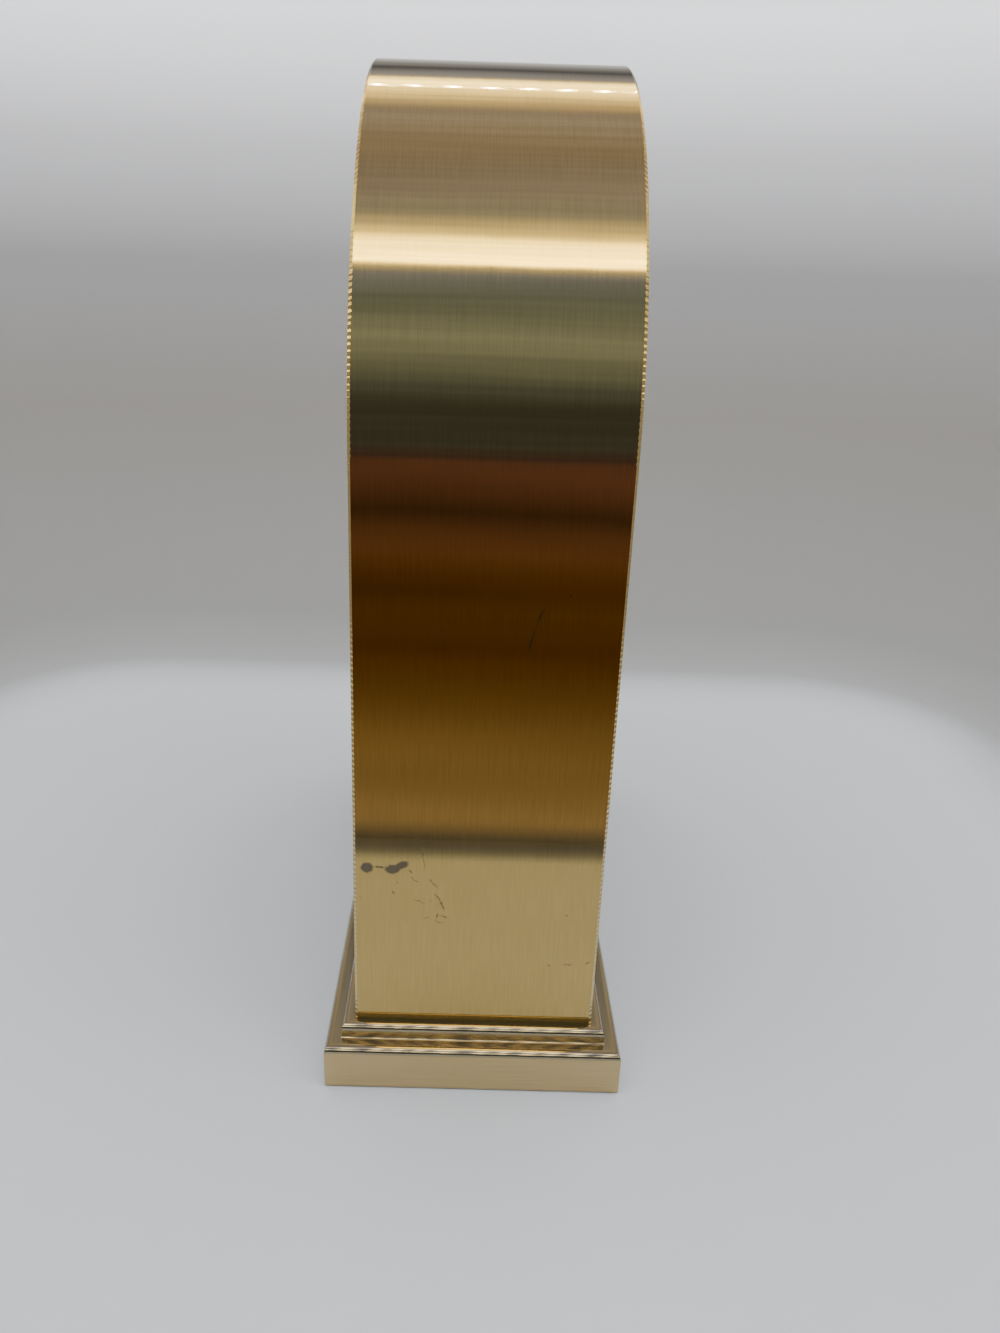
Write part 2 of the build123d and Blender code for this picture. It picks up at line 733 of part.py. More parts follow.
# Back shell: the deeper half, with the battery bay open to the back and a boss behind each arbor
with BuildPart() as movement_back_shell:
    shell_depth = module_depth - front_shell_depth - fit_gap
    with BuildSketch(facing(at(module_depth))):
        RectangleRounded(module_size, module_size, module_corner)
    extrude(amount=shell_depth)
    fillet(movement_back_shell.edges().group_by(Axis.Y)[-1], shell_wall / 2)
    with BuildSketch(facing(at(module_depth - shell_wall))):
        RectangleRounded(2 * cavity_half, 2 * cavity_half, module_corner - shell_wall)
    extrude(amount=shell_depth, mode=Mode.SUBTRACT)
    with BuildSketch(facing(at(module_depth))):
        with Locations((0, bay_middle)):
            Rectangle(2 * cavity_half, bay_height)
    extrude(amount=shell_depth, mode=Mode.SUBTRACT)
    with BuildSketch(facing(at(module_depth - shell_wall))):
        with Locations((0, bay_top + bay_wall / 2)):
            Rectangle(2 * cavity_half, bay_wall)
        with Locations((-contact_x, bay_top + bay_wall / 2), (contact_x, bay_top + bay_wall / 2)):
            Rectangle(notch_width, bay_wall, mode=Mode.SUBTRACT)
    extrude(amount=shell_depth - shell_wall)
    with BuildSketch(facing(at(module_depth - shell_wall))):
        with Locations(*post_places):
            Circle(post_radius)
    extrude(amount=module_depth - shell_wall - train_plate_t - train_plate_thickness - fit_gap)
    with BuildSketch(facing(at(module_depth - shell_wall))):
        with Locations(rotor_place, intermediate_place, third_place, (0, 0)):
            Circle(boss_radius)
    extrude(amount=module_depth - shell_wall - boss_t)
    with BuildSketch(facing(at(module_depth - shell_wall))):
        with Locations(*peg_places):
            Circle(post_radius)
    extrude(amount=module_depth - shell_wall - stator_t - stator_thickness - fit_gap)
    with BuildSketch(facing(at(module_depth - shell_wall))):
        with Locations(*peg_places):
            Circle(peg_radius)
    extrude(amount=module_depth - shell_wall - stator_t + core_thickness)
    with BuildSketch(facing(at(module_depth - shell_wall))):
        with Locations(*board_post_places):
            Circle(post_radius)
    extrude(amount=board_stand - fit_gap)
    with BuildSketch(facing(at(module_depth - shell_wall))):
        with Locations(*board_post_places):
            Circle(peg_radius)
    extrude(amount=board_stand + board_thickness + fit_gap)
    with BuildSketch(facing(at(boss_t))):
        with Locations(rotor_place, intermediate_place, third_place, (0, 0)):
            Circle(pivot_radius + run_gap)
    extrude(amount=-pivot_length - fit_gap, mode=Mode.SUBTRACT)
    with BuildSketch(facing(at(module_depth))):
        with Locations(motion_place):
            Circle(set_shaft_radius + run_gap)
    extrude(amount=shell_wall, mode=Mode.SUBTRACT)
movement_back_shell.part.label = "movement_back_shell"

# Train plate: carries the front pivots of the going train
with BuildPart() as train_plate:
    plate_width = 2 * (cavity_half - fit_gap)
    plate_height = cavity_half - bay_ceiling - 2 * fit_gap
    with BuildSketch(facing(at(train_plate_t + train_plate_thickness))):
        with Locations((0, (cavity_half + bay_ceiling) / 2)):
            RectangleRounded(plate_width, plate_height, module_corner - shell_wall)
        with Locations(rotor_place, intermediate_place, third_place):
            Circle(pivot_radius + run_gap, mode=Mode.SUBTRACT)
        with Locations((0, 0)):
            Circle(hour_bore_radius, mode=Mode.SUBTRACT)
        with Locations(motion_place):
            Circle(set_shaft_radius + run_gap, mode=Mode.SUBTRACT)
        with Locations((-contact_x, bay_ceiling), (contact_x, bay_ceiling)):
            Rectangle(notch_width, post_radius, mode=Mode.SUBTRACT)
    extrude(amount=train_plate_thickness)
train_plate.part.label = "train_plate"

# Motion work: cannon pinion, minute wheel and hour wheel
hour_hand_back_t = -bushing_length - hour_hand_stand
minute_hand_back_t = hour_hand_back_t - hand_thickness - hand_spacing
cannon_radius = pitch_radius(cannon_teeth, motion_distance, minute_teeth)
minute_radius = pitch_radius(minute_teeth, motion_distance, cannon_teeth)
minute_pinion_radius = pitch_radius(minute_pinion_teeth, motion_distance, hour_teeth)
hour_radius = pitch_radius(hour_teeth, motion_distance, minute_pinion_teeth)
centre_end_t = centre_t + wheel_thickness + pinion_extra
with BuildPart() as minute_arbor:
    with BuildSketch(facing(at(centre_end_t))):
        Circle(minute_tube_radius)
    extrude(amount=centre_end_t - minute_hand_back_t)
    with BuildSketch(facing(at(minute_t + wheel_thickness + pinion_extra))):
        add(toothed(cannon_teeth, cannon_radius, motion_angle, gap=True))
    extrude(amount=wheel_thickness + 2 * pinion_extra)
    with BuildSketch(facing(at(minute_hand_back_t))):
        Circle(minute_spigot_radius)
    extrude(amount=hand_thickness + hand_nut_height / 2)
    with BuildSketch(facing(at(centre_end_t))):
        Circle(minute_bore_radius)
    extrude(amount=centre_end_t - hour_t, mode=Mode.SUBTRACT)
minute_arbor.part.label = "minute_arbor"

with BuildPart() as minute_wheel:
    with BuildSketch(facing(at(minute_t + wheel_thickness), *motion_place)):
        add(toothed(minute_teeth, minute_radius, motion_angle + 180))
    extrude(amount=wheel_thickness)
    with BuildSketch(facing(at(minute_t), *motion_place)):
        add(toothed(minute_pinion_teeth, minute_pinion_radius, motion_angle + 180, gap=True))
    extrude(amount=minute_t - hour_t + pinion_extra)
    with BuildSketch(facing(at(minute_t), *motion_place)):
        Circle(pivot_radius)
    extrude(amount=minute_t - shell_wall + pivot_length)
    with BuildSketch(facing(at(minute_t + wheel_thickness), *motion_place)):
        Circle(set_shaft_radius)
    extrude(amount=-(module_depth + moving_gap + set_knob_height / 2 - minute_t - wheel_thickness))
minute_wheel.part.label = "minute_wheel"

with BuildPart() as hour_wheel:
    with BuildSketch(facing(at(hour_t + wheel_thickness))):
        add(toothed(hour_teeth, hour_radius, motion_angle))
        with PolarLocations(hour_radius * window_circle_share, window_count, start_angle=45):
            Circle(hour_radius * window_share / 2, mode=Mode.SUBTRACT)
    extrude(amount=wheel_thickness)
    with BuildSketch(facing(at(hour_t))):
        Circle(hour_pipe_radius)
    extrude(amount=hour_t - hour_hand_back_t + hand_thickness)
    with BuildSketch(facing(at(hour_t + wheel_thickness))):
        Circle(hour_bore_radius)
    extrude(amount=hour_t + wheel_thickness - hour_hand_back_t + hand_thickness, mode=Mode.SUBTRACT)
hour_wheel.part.label = "hour_wheel"

# Going train, from the centre wheel back to the motor
centre_radius = pitch_radius(centre_teeth, third_distance, third_pinion_teeth)
third_pinion_radius = pitch_radius(third_pinion_teeth, third_distance, centre_teeth)
third_radius = pitch_radius(third_teeth, third_distance, seconds_pinion_teeth)
seconds_pinion_radius = pitch_radius(seconds_pinion_teeth, third_distance, third_teeth)
seconds_radius = pitch_radius(seconds_teeth, intermediate_distance, intermediate_pinion_teeth)
intermediate_pinion_radius = pitch_radius(intermediate_pinion_teeth, intermediate_distance, seconds_teeth)
intermediate_radius = pitch_radius(intermediate_teeth, rotor_distance, rotor_pinion_teeth)
rotor_pinion_radius = pitch_radius(rotor_pinion_teeth, rotor_distance, intermediate_teeth)
pivot_front_t = train_plate_t + train_plate_thickness + fit_gap
pivot_back_t = boss_t - fit_gap


def wheel_windows(radius):
    """Lightening holes in a wheel's web."""
    with BuildSketch() as holes:
        with PolarLocations(radius * window_circle_share, window_count, start_angle=45):
            Circle(radius * window_share)
    return holes.sketch


def train_arbor(place, front_t):
    """Arbor with a thinner pivot at each end that runs in the train plate and in a boss."""
    with BuildPart() as arbor:
        with BuildSketch(facing(at(pivot_back_t), *place)):
            Circle(arbor_radius)
        extrude(amount=pivot_back_t - front_t)
        with BuildSketch(facing(at(pivot_back_t), *place)):
            Circle(pivot_radius)
        extrude(amount=-pivot_length)
        with BuildSketch(facing(at(front_t), *place)):
            Circle(pivot_radius)
        extrude(amount=pivot_length)
    return arbor.part


with BuildPart() as centre_wheel:
    with BuildSketch(facing(at(centre_t + wheel_thickness))):
        add(toothed(centre_teeth, centre_radius, third_angle))
        add(wheel_windows(centre_radius), mode=Mode.SUBTRACT)
        Circle(minute_tube_radius + run_gap, mode=Mode.SUBTRACT)
    extrude(amount=wheel_thickness)
centre_wheel.part.label = "centre_wheel"

with BuildPart() as third_wheel:
    add(train_arbor(third_place, pivot_front_t))
    with BuildSketch(facing(at(centre_t + wheel_thickness + pinion_extra), *third_place)):
        add(toothed(third_pinion_teeth, third_pinion_radius, third_angle + 180, gap=True))
    extrude(amount=wheel_thickness + 2 * pinion_extra)
    with BuildSketch(facing(at(third_t + wheel_thickness), *third_place)):
        add(toothed(third_teeth, third_radius, third_angle + 180))
        add(wheel_windows(third_radius), mode=Mode.SUBTRACT)
    extrude(amount=wheel_thickness)
third_wheel.part.label = "third_wheel"

with BuildPart() as seconds_wheel:
    with BuildSketch(facing(at(pivot_back_t))):
        Circle(seconds_arbor_radius)
    extrude(amount=pivot_back_t - hour_t - moving_gap)
    with BuildSketch(facing(at(pivot_back_t))):
        Circle(pivot_radius)
    extrude(amount=-pivot_length)
    with BuildSketch(facing(at(third_t + wheel_thickness + pinion_extra))):
        add(toothed(seconds_pinion_teeth, seconds_pinion_radius, third_angle, gap=True))
    extrude(amount=wheel_thickness + 2 * pinion_extra)
    with BuildSketch(facing(at(seconds_t + wheel_thickness))):
        add(toothed(seconds_teeth, seconds_radius, intermediate_angle))
        add(wheel_windows(seconds_radius), mode=Mode.SUBTRACT)
    extrude(amount=wheel_thickness)
seconds_wheel.part.label = "seconds_wheel"

with BuildPart() as intermediate_wheel:
    add(train_arbor(intermediate_place, pivot_front_t))
    with BuildSketch(facing(at(seconds_t + wheel_thickness + pinion_extra), *intermediate_place)):
        add(
            toothed(
                intermediate_pinion_teeth,
                intermediate_pinion_radius,
                intermediate_angle + 180,
                gap=True,
            )
        )
    extrude(amount=wheel_thickness + 2 * pinion_extra)
    with BuildSketch(facing(at(intermediate_t + wheel_thickness), *intermediate_place)):
        add(toothed(intermediate_teeth, intermediate_radius, rotor_angle))
    extrude(amount=wheel_thickness)
intermediate_wheel.part.label = "intermediate_wheel"

with BuildPart() as rotor_pinion:
    add(train_arbor(rotor_place, pivot_front_t))
    with BuildSketch(facing(at(intermediate_t + wheel_thickness + pinion_extra), *rotor_place)):
        add(toothed(rotor_pinion_teeth, rotor_pinion_radius, rotor_angle + 180, gap=True))
    extrude(amount=wheel_thickness + 2 * pinion_extra)
rotor_pinion.part.label = "rotor_pinion"

with BuildPart() as rotor_magnet:
    with BuildSketch(facing(at(magnet_end_t), *rotor_place)):
        Circle(magnet_radius)
        Circle(arbor_radius + fit_gap, mode=Mode.SUBTRACT)
    extrude(amount=magnet_length)
rotor_magnet.part.label = "rotor_magnet"

# Friction clutch: a dished spring washer on the minute arbor that presses on the centre wheel
with BuildPart() as clutch_spring:
    clutch_inner = minute_tube_radius + fit_gap
    clutch_outer = 2 * minute_tube_radius
    with BuildSketch(side_section):
        with BuildLine():
            Polyline(
                (clutch_inner, at(clutch_t)),
                (clutch_outer, at(clutch_t + clutch_rise - clutch_metal)),
                (clutch_outer, at(clutch_t + clutch_rise)),
                (clutch_inner, at(clutch_t + clutch_metal)),
                close=True,
            )
        make_face()
    revolve(axis=dial_axis)
clutch_spring.part.label = "clutch_spring"

# Stepping motor: stator plate with its two legs, core, bobbin and winding
leg_x = peg_places[1][0]
stator_foot = rotor_place[1] - magnet_radius - magnet_gap - stator_border / 2
stator_shoulder = rotor_place[1] + magnet_radius + magnet_gap + stator_border / 2
leg_top = coil_z + core_height / 2
with BuildPart() as stator:
    with BuildSketch(facing(at(stator_t + stator_thickness))):
        with Locations((0, (stator_foot + stator_shoulder) / 2)):
            Rectangle(2 * leg_x + leg_width, stator_shoulder - stator_foot)
        leg_middle = (stator_shoulder + leg_top) / 2
        with Locations((-leg_x, leg_middle), (leg_x, leg_middle)):
            Rectangle(leg_width, leg_top - stator_shoulder)
        with Locations(rotor_place):
            Circle(magnet_radius + magnet_gap, mode=Mode.SUBTRACT)
        with Locations(intermediate_place):
            Circle(arbor_radius + moving_gap, mode=Mode.SUBTRACT)
        with Locations(*peg_places):
            Circle(peg_radius + fit_gap, mode=Mode.SUBTRACT)
    extrude(amount=stator_thickness)
stator.part.label = "stator"

with BuildPart() as coil_core:
    with BuildSketch(facing(at(stator_t))):
        with Locations((0, coil_z)):
            Rectangle(2 * leg_x + leg_width, core_height)
        with Locations(*peg_places):
            Circle(peg_radius + fit_gap, mode=Mode.SUBTRACT)
    extrude(amount=core_thickness)
coil_core.part.label = "coil_core"

coil_t = stator_t - core_thickness / 2
coil_end = Plane(origin=(-coil_length / 2, at(coil_t), axis_z + coil_z), x_dir=(0, 1, 0), z_dir=(1, 0, 0))
with BuildPart() as coil_bobbin:
    with BuildSketch(coil_end):
        Circle(flange_radius)
    extrude(amount=-flange_thickness)
    with BuildSketch(coil_end.offset(coil_length)):
        Circle(flange_radius)
    extrude(amount=flange_thickness)
    with BuildSketch(coil_end):
        Circle(coil_tube_radius)
    extrude(amount=coil_length)
    with BuildSketch(coil_end.offset(-flange_thickness)):
        Rectangle(core_thickness + 2 * fit_gap, core_height + 2 * fit_gap)
    extrude(amount=coil_length + 2 * flange_thickness, mode=Mode.SUBTRACT)
coil_bobbin.part.label = "coil_bobbin"

with BuildPart() as coil_winding:
    with BuildSketch(coil_end.offset(fit_gap)):
        Circle(coil_radius)
        Circle(coil_tube_radius + fit_gap, mode=Mode.SUBTRACT)
    extrude(amount=coil_length - 2 * fit_gap)
coil_winding.part.label = "coil_winding"

# Circuit board, with its chip under a drop of resin and its quartz crystal in a can
board_front_t = board_back_t - board_thickness
with BuildPart() as circuit_board:
    with BuildSketch(facing(at(board_back_t), board_x, board_z)):
        Rectangle(board_width, board_height)
        with Locations((0, -board_post_spacing / 2), (0, board_post_spacing / 2)):
            Circle(peg_radius + fit_gap, mode=Mode.SUBTRACT)
    extrude(amount=board_thickness)
circuit_board.part.label = "circuit_board"

with BuildPart() as chip:
    chip_axis = Axis((board_x, 0, axis_z + board_z), (0, 1, 0))
    chip_section = Plane(
        origin=(board_x, at(board_front_t), axis_z + board_z), x_dir=(1, 0, 0), z_dir=(0, 0, -1)
    )
    with BuildSketch(chip_section):
        with BuildLine():
            Line((0, 0), (chip_radius, 0))
            ThreePointArc((chip_radius, 0), cap_middle(chip_radius, chip_height), (0, chip_height))
            Line((0, chip_height), (0, 0))
        make_face()
    revolve(axis=chip_axis)
chip.part.label = "chip"

with BuildPart() as quartz_crystal:
    crystal_z = board_z + chip_radius + crystal_radius + moving_gap
    crystal_end = Plane(
        origin=(board_x - crystal_length / 2, at(board_front_t) - crystal_radius, axis_z + crystal_z),
        z_dir=(1, 0, 0),
    )
    with BuildSketch(crystal_end):
        Circle(crystal_radius)
    extrude(amount=crystal_length)
    fillet(quartz_crystal.edges().group_by(Axis.X)[-1], crystal_radius / 3)
quartz_crystal.part.label = "quartz_crystal"

# Battery, lying across the bay with its plus end at +X
battery_left = -(battery_length + nub_length) / 2
with BuildPart() as battery:
    battery_end = Plane(origin=(battery_left, at(battery_t), axis_z + battery_z), z_dir=(1, 0, 0))
    with BuildSketch(battery_end):
        Circle(battery_radius)
    extrude(amount=battery_length)
    fillet(battery.edges().filter_by(GeomType.CIRCLE), battery_crimp)
    with BuildSketch(battery_end.offset(battery_length)):
        Circle(nub_radius)
    extrude(amount=nub_length)
battery.part.label = "battery"

# Battery contacts: bent strips that bow in towards the cell and run up to the board
bow_x = battery_left + battery_length + nub_length + moving_gap + contact_thickness / 2
strip_foot = battery_z - battery_radius / 2
strip_shoulder = battery_z + battery_radius / 2
run_z = bay_ceiling + moving_gap + contact_thickness / 2
solder_z = board_z - board_height / 2 + post_radius


def contact_strip(side, tail_x):
    """Battery contact at the given side, -1 or 1, with its tail standing on the board at tail_x."""
    with BuildPart() as strip:
        with BuildSketch(facing(at(battery_t + contact_width / 2))):
            with BuildLine():
                Polyline(
                    (side * contact_x, strip_foot),
                    (side * bow_x, battery_z - nub_radius / 2),
                    (side * bow_x, battery_z + nub_radius / 2),
                    (side * contact_x, strip_shoulder),
                    (side * contact_x, bay_ceiling),
                )
            trace(line_width=contact_thickness)
        extrude(amount=contact_width)
        with BuildSketch(facing(at(board_front_t - fit_gap))):
            with BuildLine():
                Polyline(
                    (side * contact_x, strip_shoulder),
                    (side * contact_x, run_z),
                    (tail_x, run_z),
                    (tail_x, solder_z),
                )
            trace(line_width=contact_thickness)
        extrude(amount=board_front_t - battery_t)
    return strip.part


positive_contact = contact_strip(1, board_x + board_width / 4)
positive_contact.label = "positive_contact"
negative_contact = contact_strip(-1, board_x - board_width / 4)
negative_contact.label = "negative_contact"

# Setting knob, fluted, on the back end of the minute wheel's shaft
knob_t = module_depth + moving_gap
with BuildPart() as set_knob:
    with BuildSketch(facing(at(knob_t + set_knob_height), *motion_place)):
        Circle(set_knob_radius)
        with PolarLocations(set_knob_radius, set_knob_flutes):
            Circle(flute_radius, mode=Mode.SUBTRACT)
    extrude(amount=set_knob_height)
    with BuildSketch(facing(at(knob_t), *motion_place)):
        Circle(set_shaft_radius + fit_gap)
    extrude(amount=-set_knob_height / 2 - fit_gap, mode=Mode.SUBTRACT)
set_knob.part.label = "set_knob"

# Hands, and the nut that holds the minute hand on its spigot
hour_hand_part = hand(
    hour_hand_length,
    hour_hand_width,
    hour_hub_radius,
    hour_pipe_radius + fit_gap,
    at(hour_hand_back_t),
)
hour_hand_part.label = "hour_hand"
minute_hand_part = hand(
    minute_hand_length,
    minute_hand_width,
    minute_hub_radius,
    minute_spigot_radius + fit_gap,
    at(minute_hand_back_t),
)
minute_hand_part.label = "minute_hand"

with BuildPart() as hand_nut:
    nut_seat = facing(at(minute_hand_back_t - hand_thickness))
    with BuildSketch(nut_seat):
        Circle(hand_nut_radius)
    extrude(amount=hand_nut_height)
    fillet(hand_nut.edges().group_by(Axis.Y)[0], hand_nut_height / 3)
    with BuildSketch(nut_seat):
        Circle(minute_spigot_radius + fit_gap)
    extrude(amount=hand_nut_height / 2 + fit_gap, mode=Mode.SUBTRACT)
hand_nut.part.label = "hand_nut"

# Back door: a brass disc over the opening
door_rivet_x = hinge_x - (leaf_width + knuckle_radius) / 2
with BuildPart() as back_door:
    with BuildSketch(facing(door_back_y)):
        Circle(door_radius)
        with Locations((knob_x, 0)):
            Circle(door_knob_neck_radius / 2 + fit_gap, mode=Mode.SUBTRACT)
        with Locations(*[(door_rivet_x, z) for z in rivet_heights]):
            Circle(rivet_radius + fit_gap, mode=Mode.SUBTRACT)
    extrude(amount=door_thickness)
    fillet(back_door.edges().group_by(Axis.Y)[-1].sort_by(SortBy.LENGTH)[-1], door_thickness / 2)
back_door.part.label = "back_door"

# Turned knob, riveted through the door
with BuildPart() as door_knob:
    knob_section = Plane(origin=(knob_x, door_back_y, axis_z))
    head_rise = door_knob_radius / 2
    head_foot = door_knob_height - head_rise
    cap_radius, cap_rise = cap_middle(door_knob_radius, head_rise)
    neck_radius = door_knob_neck_radius / 2
    with BuildSketch(knob_section):
        with BuildLine():
            Line((0, -door_thickness), (neck_radius, -door_thickness))
            Line((neck_radius, -door_thickness), (neck_radius, 0))
            Line((neck_radius, 0), (door_knob_radius, 0))
            ThreePointArc(
                (door_knob_radius, 0),
                (door_knob_neck_radius, head_foot / 2),
                (door_knob_radius, head_foot),
            )
            ThreePointArc(
                (door_knob_radius, head_foot),
                (cap_radius, head_foot + cap_rise),
                (0, door_knob_height),
            )
            Line((0, door_knob_height), (0, -door_thickness))
        make_face()
    revolve(axis=Axis((knob_x, 0, axis_z), (0, 1, 0)))
door_knob.part.label = "door_knob"

# Friction spring inside the door: it reaches through the opening and bears on its rim
with BuildPart() as door_spring:
    rim_x = sqrt(door_opening_radius**2 - (spring_width / 2) ** 2)
    spring_x = -(rim_x - moving_gap - spring_thickness / 2)
    with BuildSketch(Plane.XY.offset(axis_z - spring_width / 2)):
        with BuildLine():
            Polyline(
                (spring_x + spring_foot, door_front_y - spring_thickness / 2 - fit_gap),
                (spring_x + spring_thickness, door_front_y - spring_thickness / 2 - fit_gap),
                (spring_x, door_front_y - spring_reach / 2),
                (spring_x + 2 * spring_thickness, door_front_y - spring_reach),
            )
        trace(line_width=spring_thickness)
    extrude(amount=spring_width)
door_spring.part.label = "door_spring"


def hinge_leaf(plate_x, leaf_y, segments):
    """Flat leaf from plate_x out to its end, with knuckles round the pin in the given segments."""
    away = 1 if plate_x > hinge_x else -1
    reach = leaf_width - abs(plate_x - hinge_x)
    with BuildPart() as leaf:
        with BuildSketch(Plane.XY.offset(hinge_foot_z)):
            with Locations((plate_x + away * reach / 2, leaf_y + leaf_thickness / 2)):
                Rectangle(reach, leaf_thickness)
        extrude(amount=hinge_height)
        for segment in segments:
            segment_foot_z = hinge_foot_z + segment * knuckle_height + knuckle_gap / 2
            with BuildSketch(Plane.XY.offset(segment_foot_z)):
                with Locations((hinge_x, hinge_y)):
                    Circle(knuckle_radius)
                with Locations(((hinge_x + plate_x) / 2, leaf_y + leaf_thickness / 2)):
                    Rectangle(abs(plate_x - hinge_x), leaf_thickness)
            extrude(amount=knuckle_height - knuckle_gap)
        with BuildSketch(Plane.XY.offset(hinge_foot_z)):
            with Locations((hinge_x, hinge_y)):
                Circle(pin_radius + run_gap)
        extrude(amount=hinge_height, mode=Mode.SUBTRACT)
        away_rivet_x = rivet_x if away > 0 else door_rivet_x
        for z in rivet_heights:
            with BuildSketch(backing(leaf_y, away_rivet_x, z)):
                Circle(rivet_radius + fit_gap)
            extrude(amount=leaf_thickness, mode=Mode.SUBTRACT)
    return leaf.part


fixed_leaf = hinge_leaf(hinge_leaf_x, plate_back_y, range(0, knuckle_count, 2))
fixed_leaf.label = "hinge_fixed_leaf"
moving_leaf = hinge_leaf(2 * hinge_x - hinge_leaf_x, door_back_y, range(1, knuckle_count, 2))
moving_leaf.label = "hinge_door_leaf"

with BuildPart() as hinge_pin:
    with BuildSketch(Plane.XY.offset(hinge_foot_z)):
        with Locations((hinge_x, hinge_y)):
            Circle(pin_radius)
    extrude(amount=hinge_height)
    with BuildSketch(Plane.XY.offset(hinge_foot_z + hinge_height)):
        with Locations((hinge_x, hinge_y)):
            Circle(pin_head_radius)
    extrude(amount=pin_head_height)
    fillet(hinge_pin.edges().group_by(Axis.Z)[-1], pin_head_height / 2)
hinge_pin.part.label = "hinge_pin"

plate_rivet = rivet(rivet_head_radius, rivet_head_height, rivet_radius, leaf_thickness + back_thickness)
with BuildPart() as hinge_rivets:
    with Locations(*[backing(plate_back_y + leaf_thickness, rivet_x, z) for z in rivet_heights]):
        add(plate_rivet)
hinge_rivets.part.label = "hinge_rivets"

leaf_rivet = rivet(rivet_head_radius, rivet_head_height, rivet_radius, leaf_thickness + door_thickness)
with BuildPart() as door_rivets:
    with Locations(*[backing(door_back_y + leaf_thickness, door_rivet_x, z) for z in rivet_heights]):
        add(leaf_rivet)
door_rivets.part.label = "door_rivets"

# Write one file for each piece
case_parts = [plinth, base_felt, case_band, case_floor, tie_screws, front_plate, back_plate, pillars]
case_parts += [plate_screws, bezel, glass_gasket, lens, dial_surround, dial, dial_screws]
movement_parts = [rubber_washer, dial_nut, movement_front_shell, movement_back_shell, train_plate]
movement_parts += [minute_arbor, minute_wheel, hour_wheel, centre_wheel, third_wheel, seconds_wheel]
movement_parts += [intermediate_wheel, rotor_pinion, rotor_magnet, clutch_spring, stator]
movement_parts += [coil_core, coil_bobbin, coil_winding, circuit_board, chip, quartz_crystal, battery]
door_parts = [back_door, door_knob, door_spring, hinge_pin, hinge_rivets, door_rivets]
pieces = [builder.part for builder in case_parts + movement_parts + [set_knob, hand_nut] + door_parts]
pieces += [hour_hand_part, minute_hand_part, positive_contact, negative_contact, fixed_leaf, moving_leaf]
os.makedirs("parts", exist_ok=True)
for piece in pieces:
    export_step(piece, f"parts/{piece.label}.step")
print(f"{len(pieces)} pieces, dial axis {axis_z:.2f} above the table")
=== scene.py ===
# %% [markdown]
# # A brass arch-top clock, seen from its end
# The frame holds every piece of the clock at its real size, with the joints that move it. This
# script dresses those pieces: it loads the frame, sets the camera and the light, and then makes
# the brass, the glass, the dial and the plastic one after another.

# %% Load the frame
from math import asin, copysign, cos, pi, radians, sin

import bmesh
import bpy
from mathutils import Matrix, Vector


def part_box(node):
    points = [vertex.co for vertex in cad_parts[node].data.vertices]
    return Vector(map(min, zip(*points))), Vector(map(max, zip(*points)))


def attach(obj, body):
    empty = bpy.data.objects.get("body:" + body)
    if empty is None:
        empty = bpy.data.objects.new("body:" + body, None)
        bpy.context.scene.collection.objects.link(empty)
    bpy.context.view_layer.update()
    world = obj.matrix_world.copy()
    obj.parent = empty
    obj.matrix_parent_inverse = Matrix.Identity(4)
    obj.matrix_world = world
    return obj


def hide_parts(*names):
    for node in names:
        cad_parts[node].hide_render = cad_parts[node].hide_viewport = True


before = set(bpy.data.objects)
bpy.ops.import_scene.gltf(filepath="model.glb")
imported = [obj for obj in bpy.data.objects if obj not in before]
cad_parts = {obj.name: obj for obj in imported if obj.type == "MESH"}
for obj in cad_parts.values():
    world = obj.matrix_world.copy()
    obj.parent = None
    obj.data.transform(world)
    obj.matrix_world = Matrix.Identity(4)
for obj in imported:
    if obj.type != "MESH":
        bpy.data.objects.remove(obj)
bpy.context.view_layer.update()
mm = 0.001

# %% [markdown]
# The main sizes are read from the frame, so that a new piece sits exactly where the solid was.
# The band gives the arch, the depth of the case and the height of the dial's centre.

# %% Main sizes
band_low, band_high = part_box("case_band")
arch_radius = band_high.x
half_depth = band_high.y
foot_z = band_low.z
axis_z = band_high.z - arch_radius
print("dial centre", round(axis_z / mm, 2), "mm above the table")

# %% [markdown]
# The photograph was taken from about 160 mm away, close to the end of the clock and a little
# above its middle. The place and the angles come from the corners of the plinth and the edges of
# the band.

# %% Camera
camera_data = bpy.data.cameras.new("camera")
camera_data.lens = 28.897
camera_data.shift_x = 0.0225
camera_data.shift_y = 0.0101
camera_data.clip_start = 0.01
camera = bpy.data.objects.new("camera", camera_data)
camera.location = (226.79 * mm, -3.645 * mm, 148.77 * mm)
camera.rotation_euler = (radians(67.932), radians(-1.616), radians(90.284))
bpy.context.scene.collection.objects.link(camera)
bpy.context.scene.camera = camera
print("camera at", [round(v / mm, 1) for v in camera.location], "mm")


# %% [markdown]
# A few small helpers serve the whole file. One turns an sRGB hex code into the linear colour that
# the shaders work in. One fills the sockets of a node, each with a value or with a link from
# another node, and one adds a node with its settings and links. The others start a material and
# set up a ramp.

# %% Helpers for colours and materials
def hex_colour(code):
    """Linear RGBA of an sRGB hex code."""
    channels = [int(code[i:i + 2], 16) / 255 for i in (0, 2, 4)]
    linear = [c / 12.92 if c <= 0.04045 else ((c + 0.055) / 1.055) ** 2.4 for c in channels]
    return (*linear, 1.0)


def fill(node, inputs):
    """Fills sockets of a node; an input is a value, or an output socket to link from."""
    for name, value in inputs.items():
        if isinstance(value, bpy.types.NodeSocket):
            node.id_data.links.new(value, node.inputs[name])
        else:
            node.inputs[name].default_value = value


